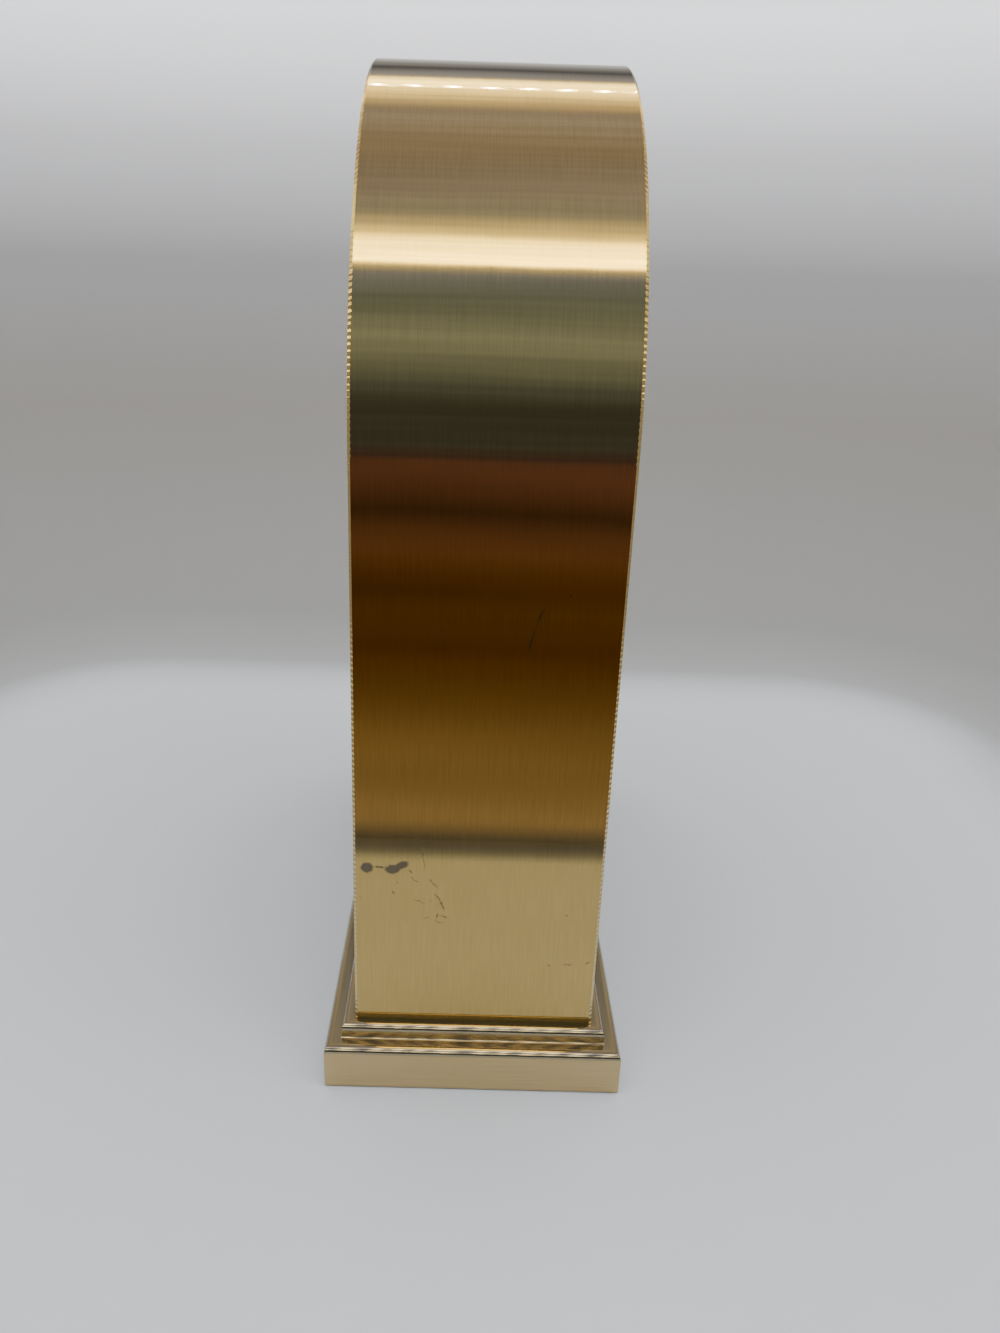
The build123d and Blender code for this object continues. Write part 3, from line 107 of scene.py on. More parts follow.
def add_node(tree, kind, inputs=None, **settings):
    """Adds a node with its settings, values and links."""
    node = tree.nodes.new("ShaderNode" + kind)
    for name, value in settings.items():
        setattr(node, name, value)
    fill(node, inputs or {})
    return node


def start_material(name, **inputs):
    """New material and its Principled shader, with the given sockets set."""
    material = bpy.data.materials.new(name)
    material.use_nodes = True
    shader = material.node_tree.nodes["Principled BSDF"]
    fill(shader, {socket.replace("_", " "): value for socket, value in inputs.items()})
    return material, shader


def ramp(tree, factor, stops):
    """Colour ramp through (place, hex code) stops."""
    node = add_node(tree, "ValToRGB", {"Fac": factor})
    elements = node.color_ramp.elements
    while len(elements) < len(stops):
        elements.new(0.5)
    for element, (place, code) in zip(elements, stops):
        element.position = place
        element.color = hex_colour(code)
    return node


# %% [markdown]
# ## The light box
# Polished metal has no shading of its own: what the eye sees on it is the room. The photograph
# was taken in a small white light box that is open towards the camera. So the end of the clock
# shows, from its foot up, the white floor of the box, the warm table and the dark room beyond the
# floor's edge, the bright front of the ceiling, the grey ceiling and the back wall. The world is
# painted in those bands by angle, and the walls at the two sides stay pale.

# %% World
world = bpy.data.worlds.new("light_box")
bpy.context.scene.world = world
world.use_nodes = True
tree = world.node_tree
background = tree.nodes["Background"]
direction = add_node(tree, "TexCoord").outputs["Generated"]
split = add_node(tree, "SeparateXYZ", {0: direction})
turn = add_node(
    tree, "Math", {0: split.outputs["Z"], 1: split.outputs["X"]}, operation="ARCTAN2"
).outputs[0]
folds = add_node(tree, "TexNoise", {"Vector": direction, "Scale": 2.6, "Detail": 3})
largest_sway = radians(5)  # how far folds move the bands; the table's edge stays straight
above_table = add_node(
    tree, "MapRange", {"Value": turn, "From Min": radians(-22), "From Max": radians(-8)}
)
sway = add_node(tree, "Math", {0: folds.outputs["Fac"], 1: 0.5}, operation="SUBTRACT")
sway = add_node(tree, "Math", {0: sway.outputs[0], 1: above_table.outputs[0]}, operation="MULTIPLY")
wavy_turn = add_node(
    tree, "Math", {0: sway.outputs[0], 1: largest_sway, 2: turn}, operation="MULTIPLY_ADD"
)
# degrees, from below the horizon in front of the clock, over the top and down the back wall
lowest_angle, highest_angle = -60, 200
sweep = add_node(
    tree,
    "MapRange",
    {
        "Value": wavy_turn.outputs[0], "From Min": radians(lowest_angle),
        "From Max": radians(highest_angle),
    },
)
room_bands = [  # degrees above the horizon in front of the clock, and the colour there
    (-30.4, "566078"),
    (-29.8, "AA9E90"),
    (-25.8, "94846C"),
    (-22.8, "745E40"),
    (-20.4, "583E1C"),
    (-18.4, "644C28"),
    (-16.9, "523A18"),
    (-15.0, "7A5A50"),
    (-13.2, "413431"),
    (-11.6, "785858"),
    (-9.5, "534758"),
    (-5, "4E566C"),
    (8, "4C5468"),
    (14, "647490"),
    (29, "A4BADC"),
    (38, "869BC0"),
    (42, "8198C0"),
    (46, "89A2D9"),
    (50.5, "9EB1F9"),
    (60, "AFBFFB"),
    (72, "BECAF4"),
    (80, "B6BCE9"),
    (88, "ADB1D4"),
    (96.5, "B0B0C4"),
    (105, "BCBDD3"),
    (111, "C7C9E0"),
    (117, "B7B5C1"),
    (131, "E4DCC8"),
    (140.5, "B4B8C0"),
    (148, "606266"),
    (156, "A0A19E"),
    (168, "F6F3EC"),
]
span = highest_angle - lowest_angle
stops = [((angle - lowest_angle) / span, code) for angle, code in room_bands]
bands = ramp(tree, sweep.outputs[0], stops)
wall_tones = [  # share of the way from straight down to straight up, and the colour there
    (0.0, "B4B4B0"),
    (0.46, "A0A09C"),
    (0.52, "8C8C8A"),
    (0.62, "9C9C96"),
    (0.8, "A8A8A2"),
    (1.0, "B0B0B4"),
]
upward = add_node(tree, "MapRange", {"Value": split.outputs["Z"], "From Min": -1})
side_walls = ramp(tree, upward.outputs[0], wall_tones)
sideways = add_node(tree, "Math", {0: split.outputs["Y"]}, operation="ABSOLUTE")
beside = add_node(
    tree,
    "MapRange",
    {"Value": sideways.outputs[0], "From Min": 0.72, "From Max": 0.94},
    interpolation_type="SMOOTHSTEP",
)
room = add_node(
    tree,
    "Mix",
    {0: beside.outputs[0], 6: bands.outputs[0], 7: side_walls.outputs[0]},
    data_type="RGBA",
)
crease_place = add_node(tree, "CombineXYZ", {"X": wavy_turn.outputs[0], "Y": split.outputs["Y"]})
crease_scale = add_node(tree, "Mapping", {"Vector": crease_place.outputs[0], "Scale": (26, 2.2, 1)})
creases = add_node(tree, "TexNoise", {"Vector": crease_scale.outputs[0], "Scale": 1, "Detail": 3})
soft_creases = add_node(
    tree,
    "MapRange",
    {
        "Value": creases.outputs["Fac"], "From Min": 0.3, "From Max": 0.7, "To Min": 0.86,
        "To Max": 1.1,
    },
)
fill(background, {"Color": room.outputs[2], "Strength": soft_creases.outputs[0]})
print("world painted in", len(room_bands), "bands")

# %% [markdown]
# ## Floor and lamps
# The floor is plain and pale. The light box's own floor ends a little in front of the clock, and
# its edge shows in the brass as a dark line. So there are two floors, one for the camera and one
# that ends there, which only the brass sees. That one is painted a little darker and bluer than
# the other, as painted shade, and darker still near its edge, as a painted shadow. The floor that
# the camera sees goes over into the walls of a bowl in one sweep, as a fabric backdrop does; the
# walls are painted darker low down and lighter towards the top, as painted shade. Three soft lamps
# light it all, and the brass doesn't see them.

# %% Floor
floor_edge_x = 149 * mm
edge_shade_width = 54 * mm  # how far in from its edge the floor in the brass carries a painted shadow
floor_back_x = -120 * mm
floor_half = 145 * mm
floor_straight = 110 * mm
sweep_radius = 320 * mm
wall_height = 1200 * mm


def stage_sheet(name, bm, material):
    """Object for the floor, the backdrop or a lamp, which are not part of the clock."""
    mesh = bpy.data.meshes.new(name)
    bm.to_mesh(mesh)
    bm.free()
    sheet = bpy.data.objects.new(name, mesh)
    bpy.context.scene.collection.objects.link(sheet)
    mesh.materials.append(material)
    mesh.shade_smooth()
    return sheet


def hide_but_from_gloss(sheet):
    """Leaves a sheet visible in shiny surfaces and nowhere else."""
    for sort in ("camera", "diffuse", "transmission", "shadow"):
        setattr(sheet, "visible_" + sort, False)


def verts_of(geom):
    """The vertices in what an operator returned."""
    return [item for item in geom if isinstance(item, bmesh.types.BMVert)]


def edges_of(geom):
    """The edges in what an operator returned."""
    return [item for item in geom if isinstance(item, bmesh.types.BMEdge)]


def faces_of(geom):
    """The faces in what an operator returned."""
    return [item for item in geom if isinstance(item, bmesh.types.BMFace)]


def tent_fabric(name, axis, start, end, tones):
    """White fabric with painted shade that changes along one axis from start to end."""
    material, shader = start_material(name, Roughness=0.6, Specular_IOR_Level=0.2)
    tree = material.node_tree
    place = add_node(tree, "SeparateXYZ", {0: add_node(tree, "TexCoord").outputs["Object"]})
    share = add_node(
        tree, "MapRange", {"Value": place.outputs[axis], "From Min": start, "From Max": end}
    )
    fill(shader, {"Base Color": ramp(tree, share.outputs[0], tones).outputs[0]})
    return material


fabric_painted_shade = [  # share of 400 mm above the floor, and the painted shade there
    (0.0, "B2B5B7"),
    (0.0006, "979898"),
    (0.005, "858582"),
    (0.02, "7A7976"),
    (0.18, "74716A"),
    (0.35, "807F7E"),
    (0.5, "B4B4B4"),
    (0.66, "FAFBFC"),
    (1.0, "FFFFFF"),
]
fabric = tent_fabric("white_tent_fabric", "Z", 0, 400 * mm, fabric_painted_shade)
edge_shade_tones = [  # share of the painted edge shadow's width, and the painted shade there
    (0.0, "A8AFB7"),
    (0.3, "A3AAB2"),
    (0.69, "A0A7AE"),
    (0.8, "9FA6AD"),
    (0.82, "8C95A3"),
    (0.874, "646C7B"),
    (0.931, "4D526A"),
    (1.0, "474B52"),
]
# the floor in the brass: painted darker and bluer than the floor, and darker still at its edge, as
# painted shade and shadow
edge_shade_start = floor_edge_x - edge_shade_width
mirrored_fabric = tent_fabric("fabric_in_the_brass", "X", edge_shade_start, floor_edge_x, edge_shade_tones)


def flat_sheet(name, x_from, x_to, z, material):
    """Flat floor between two places along x."""
    bm = bmesh.new()
    edge = bm.edges.new([bm.verts.new((x_from, side * floor_half, z)) for side in (-1, 1)])
    flat = bmesh.ops.extrude_edge_only(bm, edges=[edge])["geom"]
    bmesh.ops.translate(bm, verts=verts_of(flat), vec=(x_to - x_from, 0, 0))
    bmesh.ops.recalc_face_normals(bm, faces=bm.faces)
    return stage_sheet(name, bm, material)


floor = flat_sheet("floor", floor_back_x + 2 * floor_half, floor_back_x, 0, fabric)
floor.visible_glossy = False
just_above = 0.05 * mm
mirrored_floor = flat_sheet(
    "floor_in_the_brass", floor_edge_x, floor_back_x, just_above, mirrored_fabric
)
hide_but_from_gloss(mirrored_floor)

bm = bmesh.new()
start = bm.verts.new((floor_half, -floor_straight, 0))
curve = bmesh.ops.spin(
    bm,
    geom=[start],
    cent=(floor_half, -floor_straight, sweep_radius),
    axis=(0, -1, 0),
    angle=pi / 2,
    steps=48,
)["geom_last"]
top = bm.verts.new((floor_half + sweep_radius, -floor_straight, sweep_radius + wall_height))
bm.edges.new((verts_of(curve)[0], top))
edges = bm.edges[:]
for quarter_turn in range(4):
    turn = Matrix.Rotation(quarter_turn * pi / 2, 3, "Z")
    straight = bmesh.ops.extrude_edge_only(bm, edges=edges)["geom"]
    bmesh.ops.translate(bm, verts=verts_of(straight), vec=turn @ Vector((0, 2 * floor_straight, 0)))
    corner = turn @ Vector((floor_straight, floor_straight, 0))
    rounded = bmesh.ops.spin(
        bm,
        geom=verts_of(straight) + edges_of(straight),
        cent=corner,
        axis=(0, 0, 1),
        angle=pi / 2,
        steps=32,
    )["geom_last"]
    edges = edges_of(rounded)
bmesh.ops.remove_doubles(bm, verts=bm.verts, dist=0.1 * mm)
bmesh.ops.recalc_face_normals(bm, faces=bm.faces)
bmesh.ops.reverse_faces(bm, faces=bm.faces)
bmesh.ops.translate(bm, verts=bm.verts, vec=(floor_back_x + floor_half, 0, 0))
bowl = stage_sheet("fabric_bowl", bm, fabric)
bowl.visible_glossy = False
bowl.visible_shadow = False
print("floor laid, bowl", len(bowl.data.polygons), "faces")


# %% Lamps
def soft_lamp(name, place, aim, size, watts):
    """Square area lamp that the brass doesn't see, aimed at a point."""
    data = bpy.data.lights.new(name, "AREA")
    data.energy = watts
    data.size = size
    lamp = bpy.data.objects.new(name, data)
    lamp.location = place
    lamp.rotation_euler = (Vector(aim) - Vector(place)).to_track_quat("-Z", "Y").to_euler()
    bpy.context.scene.collection.objects.link(lamp)
    lamp.visible_glossy = False
    return lamp


soft_lamp("ceiling_lamp", (0.1, 0.0, 0.9), (0, 0, 0), 0.9, 7.5)
soft_lamp("left_lamp", (0.3, -0.8, 0.6), (0, 0, 0.08), 0.6, 2.2)
soft_lamp("right_lamp", (0.3, 0.8, 0.6), (0, 0, 0.08), 0.6, 2.2)
print("three soft lamps hung")


# %% [markdown]
# ## Making pieces
# Each new piece is a mesh whose object stays at the origin. The helper below turns a finished
# bmesh into such a piece: it points the faces outwards, shades the curved ones smooth and keeps
# every edge sharper than 30 degrees crisp.

# %% Helper for pieces
same_place = 0.001 * mm  # vertices closer than this are merged


def finish_piece(name, bm, material, body, replaced=(), slot=None, crease=30):
    """Object made from the bmesh, riding on a body and standing for the nodes that it replaces."""
    bmesh.ops.recalc_face_normals(bm, faces=bm.faces)
    mesh = bpy.data.meshes.new(name)
    bm.to_mesh(mesh)
    bm.free()
    mesh.shade_smooth()
    mesh.set_sharp_from_angle(angle=radians(crease))
    piece = bpy.data.objects.new(name, mesh)
    bpy.context.scene.collection.objects.link(piece)
    mesh.materials.append(material)
    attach(piece, body)
    if replaced:
        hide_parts(*replaced)
    print(name, len(mesh.polygons), "faces")
    return piece


def open_chain(bm, points):
    """Edges through the points, in order."""
    verts = [bm.verts.new(point) for point in points]
    return verts, [bm.edges.new(pair) for pair in zip(verts, verts[1:])]


def turned(name, profile, material, body, centre=(0, 0), steps=192, **more):
    """Solid of revolution about a line through (x, z) = centre, from points (radius, y)."""
    bm = bmesh.new()
    verts, edges = open_chain(bm, [(centre[0] + radius, y, centre[1]) for radius, y in profile])
    bmesh.ops.spin(
        bm,
        geom=verts + edges,
        cent=(centre[0], 0, centre[1]),
        axis=(0, 1, 0),
        angle=2 * pi,
        steps=steps,
        use_merge=True,
    )
    bmesh.ops.remove_doubles(bm, verts=bm.verts, dist=same_place)
    return finish_piece(name, bm, material, body, **more)


# %% [markdown]
# ## Brushed brass for the band
# The band is brass strip, brushed lengthwise by an abrasive belt and then lacquered. The
# scratches spread a reflection across the strip and hardly at all along it, which is what the
# anisotropic setting does, with its tangent across the strip. The real scratches are about 0.05
# mm apart. They are drawn 0.25 mm apart here, because finer ones would not show at this distance.

# %% Brushed brass
def brushed_brass(
    name, across, along, roughness=0.06, spread=0.9, darker="AC8C46", paler="CEAC5E", lacquer=0.8
):
    """Brass with scratches `across` apart and `along` long, in metres, on the UV map."""
    material, shader = start_material(
        name, Metallic=1.0, Anisotropic=spread, Coat_Weight=lacquer, Coat_Roughness=0.03,
        Coat_IOR=1.5,
    )
    tree = material.node_tree
    uv = add_node(tree, "UVMap", uv_map="brush")
    fine = add_node(tree, "Mapping", {"Vector": uv.outputs[0], "Scale": (1 / across, 1 / along, 1)})
    hair = add_node(
        tree, "TexNoise", {"Vector": fine.outputs[0], "Scale": 1, "Detail": 3, "Roughness": 0.6}
    )
    broad = add_node(
        tree, "Mapping", {"Vector": uv.outputs[0], "Scale": (0.12 / across, 0.25 / along, 1)}
    )
    patch = add_node(tree, "TexNoise", {"Vector": broad.outputs[0], "Scale": 1, "Detail": 2})
    tint = add_node(
        tree,
        "Mix",
        {0: hair.outputs["Fac"], 6: hex_colour(darker), 7: hex_colour(paler)},
        data_type="RGBA",
    )
    smoothest, roughest = roughness - 0.01, roughness + 0.02
    uneven = add_node(tree, "MapRange", {
        "Value": patch.outputs["Fac"],
        "From Min": 0.3,
        "From Max": 0.7,
        "To Min": smoothest,
        "To Max": roughest,
    })
    scratch_depth = 0.02 * mm
    bump = add_node(
        tree, "Bump", {"Strength": 0.25, "Distance": scratch_depth, "Height": hair.outputs["Fac"]}
    )
    grain = add_node(tree, "Tangent", direction_type="UV_MAP", uv_map="brush")
    fill(shader, {
        "Base Color": tint.outputs[2],
        "Roughness": uneven.outputs[0],
        "Normal": bump.outputs[0],
        "Tangent": grain.outputs[0],
    })
    return material


def brush_map(piece, place):
    """UV map whose U runs across the brush marks and V along them, both in metres."""
    mesh = piece.data
    layer = mesh.uv_layers.new(name="brush")
    for face in mesh.polygons:
        for corner in face.loop_indices:
            point = mesh.vertices[mesh.loops[corner].vertex_index].co
            layer.data[corner].uv = place(point, face.center)


band_brass = brushed_brass("lengthwise_brushed_brass", across=0.25 * mm, along=9 * mm)

# %% [markdown]
# The lacquer has failed in two places near the foot of the strip, and the brass has tarnished
# brown there. A few scratches and specks lie around them. Each mark is a long or round oval on
# the end of the clock. One Mapping node lays an oval of its size and tilt over the surface, and
# its distance from the middle tells what lies inside. A little noise in the coordinates frays the
# outlines.

# %% Tarnish and scratches
end_x = arch_radius
mark_depth = 5 * mm
tarnish_brown, tarnish_roughness = "6E5E40", 0.42
wear_marks = [  # mm across, mm above the table, half length, half width, tilt in degrees
    (-20.0, 45.2, 1.15, 1.1, 2),
    (-15.4, 45.0, 1.4, 0.95, 8),
    (-13.8, 45.9, 1.25, 0.75, 22),
    (-17.8, 45.4, 0.9, 0.2, -2),
    (-9.9, 47.2, 2.7, 0.06, -84),
    (-8.0, 42.2, 1.4, 0.11, -44),
    (-7.3, 39.4, 1.0, 0.12, -54),
    (-6.4, 37.7, 1.15, 0.13, -69),
    (-10.5, 38.4, 1.05, 0.1, -25),
    (-6.1, 35.3, 0.9, 0.12, -19),
    (-6.9, 34.0, 0.9, 0.07, -10),
    (-7.3, 35.0, 1.0, 0.06, -99),
    (-9.3, 34.9, 0.75, 0.06, 10),
    (-12.1, 44.6, 0.6, 0.09, -51),
    (-11.5, 42.9, 0.85, 0.09, -30),
    (-15.3, 40.2, 0.4, 0.12, -69),
    (17.3, 25.3, 1.0, 0.08, 2),
    (21.0, 25.9, 0.4, 0.12, 19),
    (13.6, 25.1, 0.45, 0.09, -24),
    (-8.5, 38.6, 0.16, 0.16, 0),
    (-14.5, 42.2, 0.16, 0.16, 0),
    (-21.3, 39.0, 0.16, 0.16, 0),
    (16.3, 36.2, 0.18, 0.18, 0),
    (8.5, 93.2, 2.2, 0.1, -109),
    (7.3, 89.1, 2.1, 0.17, -104),
    (13.3, 97.1, 0.22, 0.2, 0),
]
tree = band_brass.node_tree
shader = tree.nodes["Principled BSDF"]
place = add_node(tree, "TexCoord").outputs["Object"]
ragged = add_node(
    tree, "TexNoise", {"Vector": place, "Scale": 1 / (0.6 * mm), "Detail": 5, "Roughness": 0.75}
)
centred = add_node(
    tree, "VectorMath", {0: ragged.outputs["Color"], 1: (0.5, 0.5, 0.5)}, operation="SUBTRACT"
)
shift = add_node(tree, "VectorMath", {0: centred.outputs[0], "Scale": 1.3 * mm}, operation="SCALE")
frayed = add_node(tree, "VectorMath", {0: place, 1: shift.outputs[0]}, operation="ADD")
nearest = None
for y, z, half_length, half_width, tilt in wear_marks:
    oval_place = add_node(
        tree,
        "Mapping",
        {
            "Vector": frayed.outputs[0],
            "Location": (end_x, y * mm, z * mm),
            "Rotation": (radians(tilt), 0, 0),
            "Scale": (mark_depth, half_length * mm, half_width * mm),
        },
        vector_type="TEXTURE",
    )
    reach = add_node(
        tree, "VectorMath", {0: oval_place.outputs[0]}, operation="LENGTH"
    ).outputs["Value"]
    if nearest:
        reach = add_node(tree, "Math", {0: nearest, 1: reach}, operation="MINIMUM").outputs[0]
    nearest = reach
worn = add_node(
    tree, "MapRange",
    {"Value": nearest, "From Min": 0.8, "From Max": 1.15, "To Min": 1, "To Max": 0},
)
bright = shader.inputs["Base Color"].links[0].from_socket
brown = add_node(
    tree, "Mix", {0: worn.outputs[0], 6: bright, 7: hex_colour(tarnish_brown)}, data_type="RGBA"
)
smooth = shader.inputs["Roughness"].links[0].from_socket
dull = add_node(tree, "Mix", {0: worn.outputs[0], 2: smooth, 3: tarnish_roughness})
fill(shader, {"Base Color": brown.outputs[2], "Roughness": dull.outputs[0]})
print(len(wear_marks), "marks on the strip")

# %% [markdown]
# The two long edges of the strip were chamfered by a milling cutter, which left a fine row of
# steps. Each step catches the light on its own, so the edge sparkles. The bump follows the
# strip's length.

# %% Milled edge
milled_brass = brushed_brass(
    "milled_brass", across=0.2 * mm, along=0.9 * mm, roughness=0.16, spread=0.3, darker="C8A45C",
    paler="F0D488",
)
tree = milled_brass.node_tree
shader = tree.nodes["Principled BSDF"]
uv = add_node(tree, "UVMap", uv_map="brush")
step_length = 1.0 * mm
cutter = add_node(tree, "Mapping", {"Vector": uv.outputs[0], "Scale": (0, 1 / step_length, 1)})
step_wave = add_node(
    tree,
    "TexWave",
    {
        "Vector": cutter.outputs[0], "Scale": 0.32, "Distortion": 2.0, "Detail": 2,
        "Detail Scale": 1.5,
    },
    bands_direction="Y",
    wave_profile="SIN",
)
steps_bump = add_node(
    tree, "Bump", {"Strength": 0.9, "Distance": 0.12 * mm, "Height": step_wave.outputs["Fac"]}
)
fill(shader, {"Normal": steps_bump.outputs[0]})

# %% [markdown]
# The band starts as its cross-section, standing at the left foot. Extruding it makes the first
# side, spinning it half a turn about the dial's centre makes the arch, and extruding again makes
# the other side. On the arch, every second ring of the two chamfers is cut a little deeper, which
# gives the steps that the cutter left.

# %% Case band
band_thickness = 2.0 * mm
band_chamfer = 0.45 * mm
arch_steps = 384
cutter_bite = 0.13 * mm
tolerance = 0.01 * mm
outer_x, inner_x = -arch_radius, -(arch_radius - band_thickness)
section = [
    (outer_x, half_depth - band_chamfer),
    (outer_x + band_chamfer, half_depth),
    (inner_x, half_depth),
    (inner_x, -half_depth),
    (outer_x + band_chamfer, -half_depth),
    (outer_x, -(half_depth - band_chamfer)),
]
bm = bmesh.new()
ring = [bm.verts.new((x, y, foot_z)) for x, y in section]
first_end = bm.faces.new(ring)
side = bmesh.ops.extrude_face_region(bm, geom=[first_end])["geom"]
bmesh.ops.translate(bm, verts=verts_of(side), vec=(0, 0, axis_z - foot_z))
top_face = faces_of(side)
arch = bmesh.ops.spin(
    bm, geom=top_face, cent=(0, 0, axis_z), axis=(0, 1, 0), angle=pi, steps=arch_steps
)["geom_last"]
last_face = faces_of(arch)
other = bmesh.ops.extrude_face_region(bm, geom=last_face)["geom"]
bmesh.ops.translate(bm, verts=verts_of(other), vec=(0, 0, foot_z - axis_z))
bmesh.ops.delete(bm, geom=top_face + last_face, context="FACES_ONLY")
for vert in bm.verts:
    arm = Vector((vert.co.x, 0, vert.co.z - axis_z))
    step = round(arm.angle(Vector((-1, 0, 0))) / (pi / arch_steps))
    if arm.z > 0.1 * mm and step % 2:
        if abs(arm.length - arch_radius) < tolerance:
            vert.co.y -= cutter_bite if vert.co.y > 0 else -cutter_bite
        elif abs(arm.length - arch_radius + band_chamfer) < tolerance:
            vert.co -= arm.normalized() * cutter_bite
band = finish_piece(
    "brushed_band", bm, band_brass, "case", replaced=["case_band"], slot="brushed_brass"
)


def along_band(point):
    """How far along the strip a point lies, from the left foot."""
    if point.z > axis_z:
        angle = Vector((-point.x, point.z - axis_z)).angle_signed(Vector((1, 0)))
        return axis_z + arch_radius * angle
    return point.z if point.x < 0 else 2 * axis_z + arch_radius * pi - point.z


brush_map(band, lambda point, face: (point.y, along_band(point)))
band.data.materials.append(milled_brass)
chamfers = [face for face in band.data.polygons if 0.5 < abs(face.normal.y) < 0.9]
for face in chamfers:
    face.material_index = 1
print(len(chamfers), "chamfer faces")

# %% [markdown]
# The satin strip smears the lamps of the light box into two broad gold bands across the crest. A
# renderer needs far too many samples for that, so two glowing strips of ceiling stand in for the
# smear. They are see-through apart from their glow, so that the room behind them still shows in
# the brass. Light linking shows each glow, and the row of single lamps in the back one, to one
# piece alone.

# %% Ceiling strips
ceiling_z = 345 * mm
fray = 9 * mm  # how far the threads of the fabric pull the edge of a glow
thread_length, thread_spacing = 60 * mm, 1.5 * mm
wave_length, wave_width = 7 * mm, 90 * mm
fan_reach = 217 * mm  # the ribs fan out from a point this far in front of the end of the clock
dash_spacing = 4.9 * mm


def shown_only_to(piece):
    """Collection for light linking that holds one piece."""
    collection = bpy.data.collections.new(piece.name + "_only")
    collection.objects.link(piece)
    return collection


def hang(lamp, collection):
    """Leaves the lamp visible in the brass of a collection and nowhere else."""
    hide_but_from_gloss(lamp)
    lamp.light_linking.receiver_collection = collection


def ceiling_strip(name, collection, half_widths, x_low, x_high, glow, colour, strength, ribs=None):
    """See-through sheet under the ceiling, whose glow along x is a list of (share, grey) stops."""
    material, shader = start_material(name + "_glow")
    tree = material.node_tree
    tree.nodes.remove(shader)
    place = add_node(tree, "SeparateXYZ", {0: add_node(tree, "TexCoord").outputs["Object"]})
    flat = add_node(
        tree, "CombineXYZ", {"X": place.outputs["X"], "Y": place.outputs["Y"]}
    ).outputs[0]
    thread_scale = (1 / thread_length, 1 / thread_spacing, 1)
    thread_place = add_node(tree, "Mapping", {"Vector": flat, "Scale": thread_scale})
    threads = add_node(
        tree, "TexNoise", {"Vector": thread_place.outputs[0], "Scale": 1, "Detail": 2}
    )
    pull = add_node(
        tree, "MapRange", {"Value": threads.outputs["Fac"], "To Min": -fray, "To Max": fray}
    )
    frayed_x = add_node(tree, "Math", {0: place.outputs["X"], 1: pull.outputs[0]}, operation="ADD")
    share = add_node(
        tree, "MapRange", {"Value": frayed_x.outputs[0], "From Min": x_low, "From Max": x_high}
    )
    level = ramp(tree, share.outputs[0], glow).outputs[0]
    wave_scale = (1 / wave_length, 1 / wave_width, 1)
    wave_place = add_node(tree, "Mapping", {"Vector": flat, "Scale": wave_scale})
    waves = add_node(tree, "TexNoise", {"Vector": wave_place.outputs[0], "Scale": 1, "Detail": 2})
    power = add_node(tree, "MapRange", {
        "Value": waves.outputs["Fac"],
        "From Min": 0.3,
        "From Max": 0.7,
        "To Min": 0.7 * strength,
        "To Max": 1.2 * strength,
    }).outputs[0]
    if ribs:
        arm = add_node(tree, "CombineXYZ", {"X": place.outputs["X"], "Z": place.outputs["Z"]})
        reach = add_node(
            tree, "VectorMath", {0: arm.outputs[0], 1: (arch_radius, 0, 0)}, operation="DISTANCE"
        )
        reach = add_node(tree, "Math", {0: reach.outputs["Value"], 1: fan_reach}, operation="ADD")
        fan = add_node(
            tree, "Math", {0: place.outputs["Y"], 1: reach.outputs[0]}, operation="DIVIDE"
        )
        number = add_node(
            tree, "Math", {0: fan.outputs[0], 1: fan_reach / dash_spacing}, operation="MULTIPLY"
        )
        across = add_node(tree, "CombineXYZ", {"Y": number.outputs[0]})
        uneven = add_node(
            tree, "TexNoise", {"Vector": across.outputs[0], "Scale": 0.4, "Detail": 1}
        )
        shifted = add_node(
            tree, "Math", {0: uneven.outputs["Fac"], 1: 1.6, 2: number.outputs[0]},
            operation="MULTIPLY_ADD",
        )
        between = add_node(tree, "Math", {0: shifted.outputs[0]}, operation="FRACT")
        level = add_node(
            tree, "Math", {0: level, 1: ramp(tree, between.outputs[0], ribs).outputs[0]},
            operation="MULTIPLY",
        ).outputs[0]
    glowing = add_node(tree, "Math", {0: level, 1: power}, operation="MULTIPLY")
    light = add_node(
        tree, "Emission", {"Color": hex_colour(colour), "Strength": glowing.outputs[0]}
    )
    clear = add_node(tree, "BsdfTransparent")
    both = add_node(tree, "AddShader", {0: light.outputs[0], 1: clear.outputs[0]})
    fill(tree.nodes["Material Output"], {"Surface": both.outputs[0]})
    bm = bmesh.new()
    low, high = half_widths
    corners = [(x_low, -low), (x_high, -high), (x_high, high), (x_low, low)]
    bm.faces.new([bm.verts.new((x, y, ceiling_z)) for x, y in corners])
    hang(stage_sheet(name, bm, material), collection)


band_only = shown_only_to(band)
front_glow = [
    (0.0, "000000"),
    (0.054, "0E0E0E"),
    (0.19, "404040"),
    (0.33, "6A6A6A"),
    (0.48, "D8D8D8"),
    (0.64, "E4E4E4"),
    (0.72, "FFFFFF"),
    (0.79, "FFFFFF"),
    (0.815, "B4B4B4"),
    (0.866, "404040"),
    (0.955, "1C1C1C"),
    (1.0, "000000"),
]
back_glow = [
    (0.0, "000000"),
    (0.1, "383838"),
    (0.21, "B4B4B4"),
    (0.34, "E4E4E4"),
    (0.49, "ACACAC"),
    (0.62, "8B8B8B"),
    (0.73, "6E6E6E"),
    (0.85, "4C4C4C"),
    (1.0, "000000"),
]
wide = (600 * mm, 600 * mm)
ceiling_strip(
    "front_ceiling_strip", band_only, wide, 112 * mm, 224 * mm, front_glow, colour="FFF390",
    strength=13,
)
ceiling_strip(
    "back_ceiling_strip", band_only, wide, -182 * mm, -50 * mm, back_glow, colour="FFE87C",
    strength=9,
)

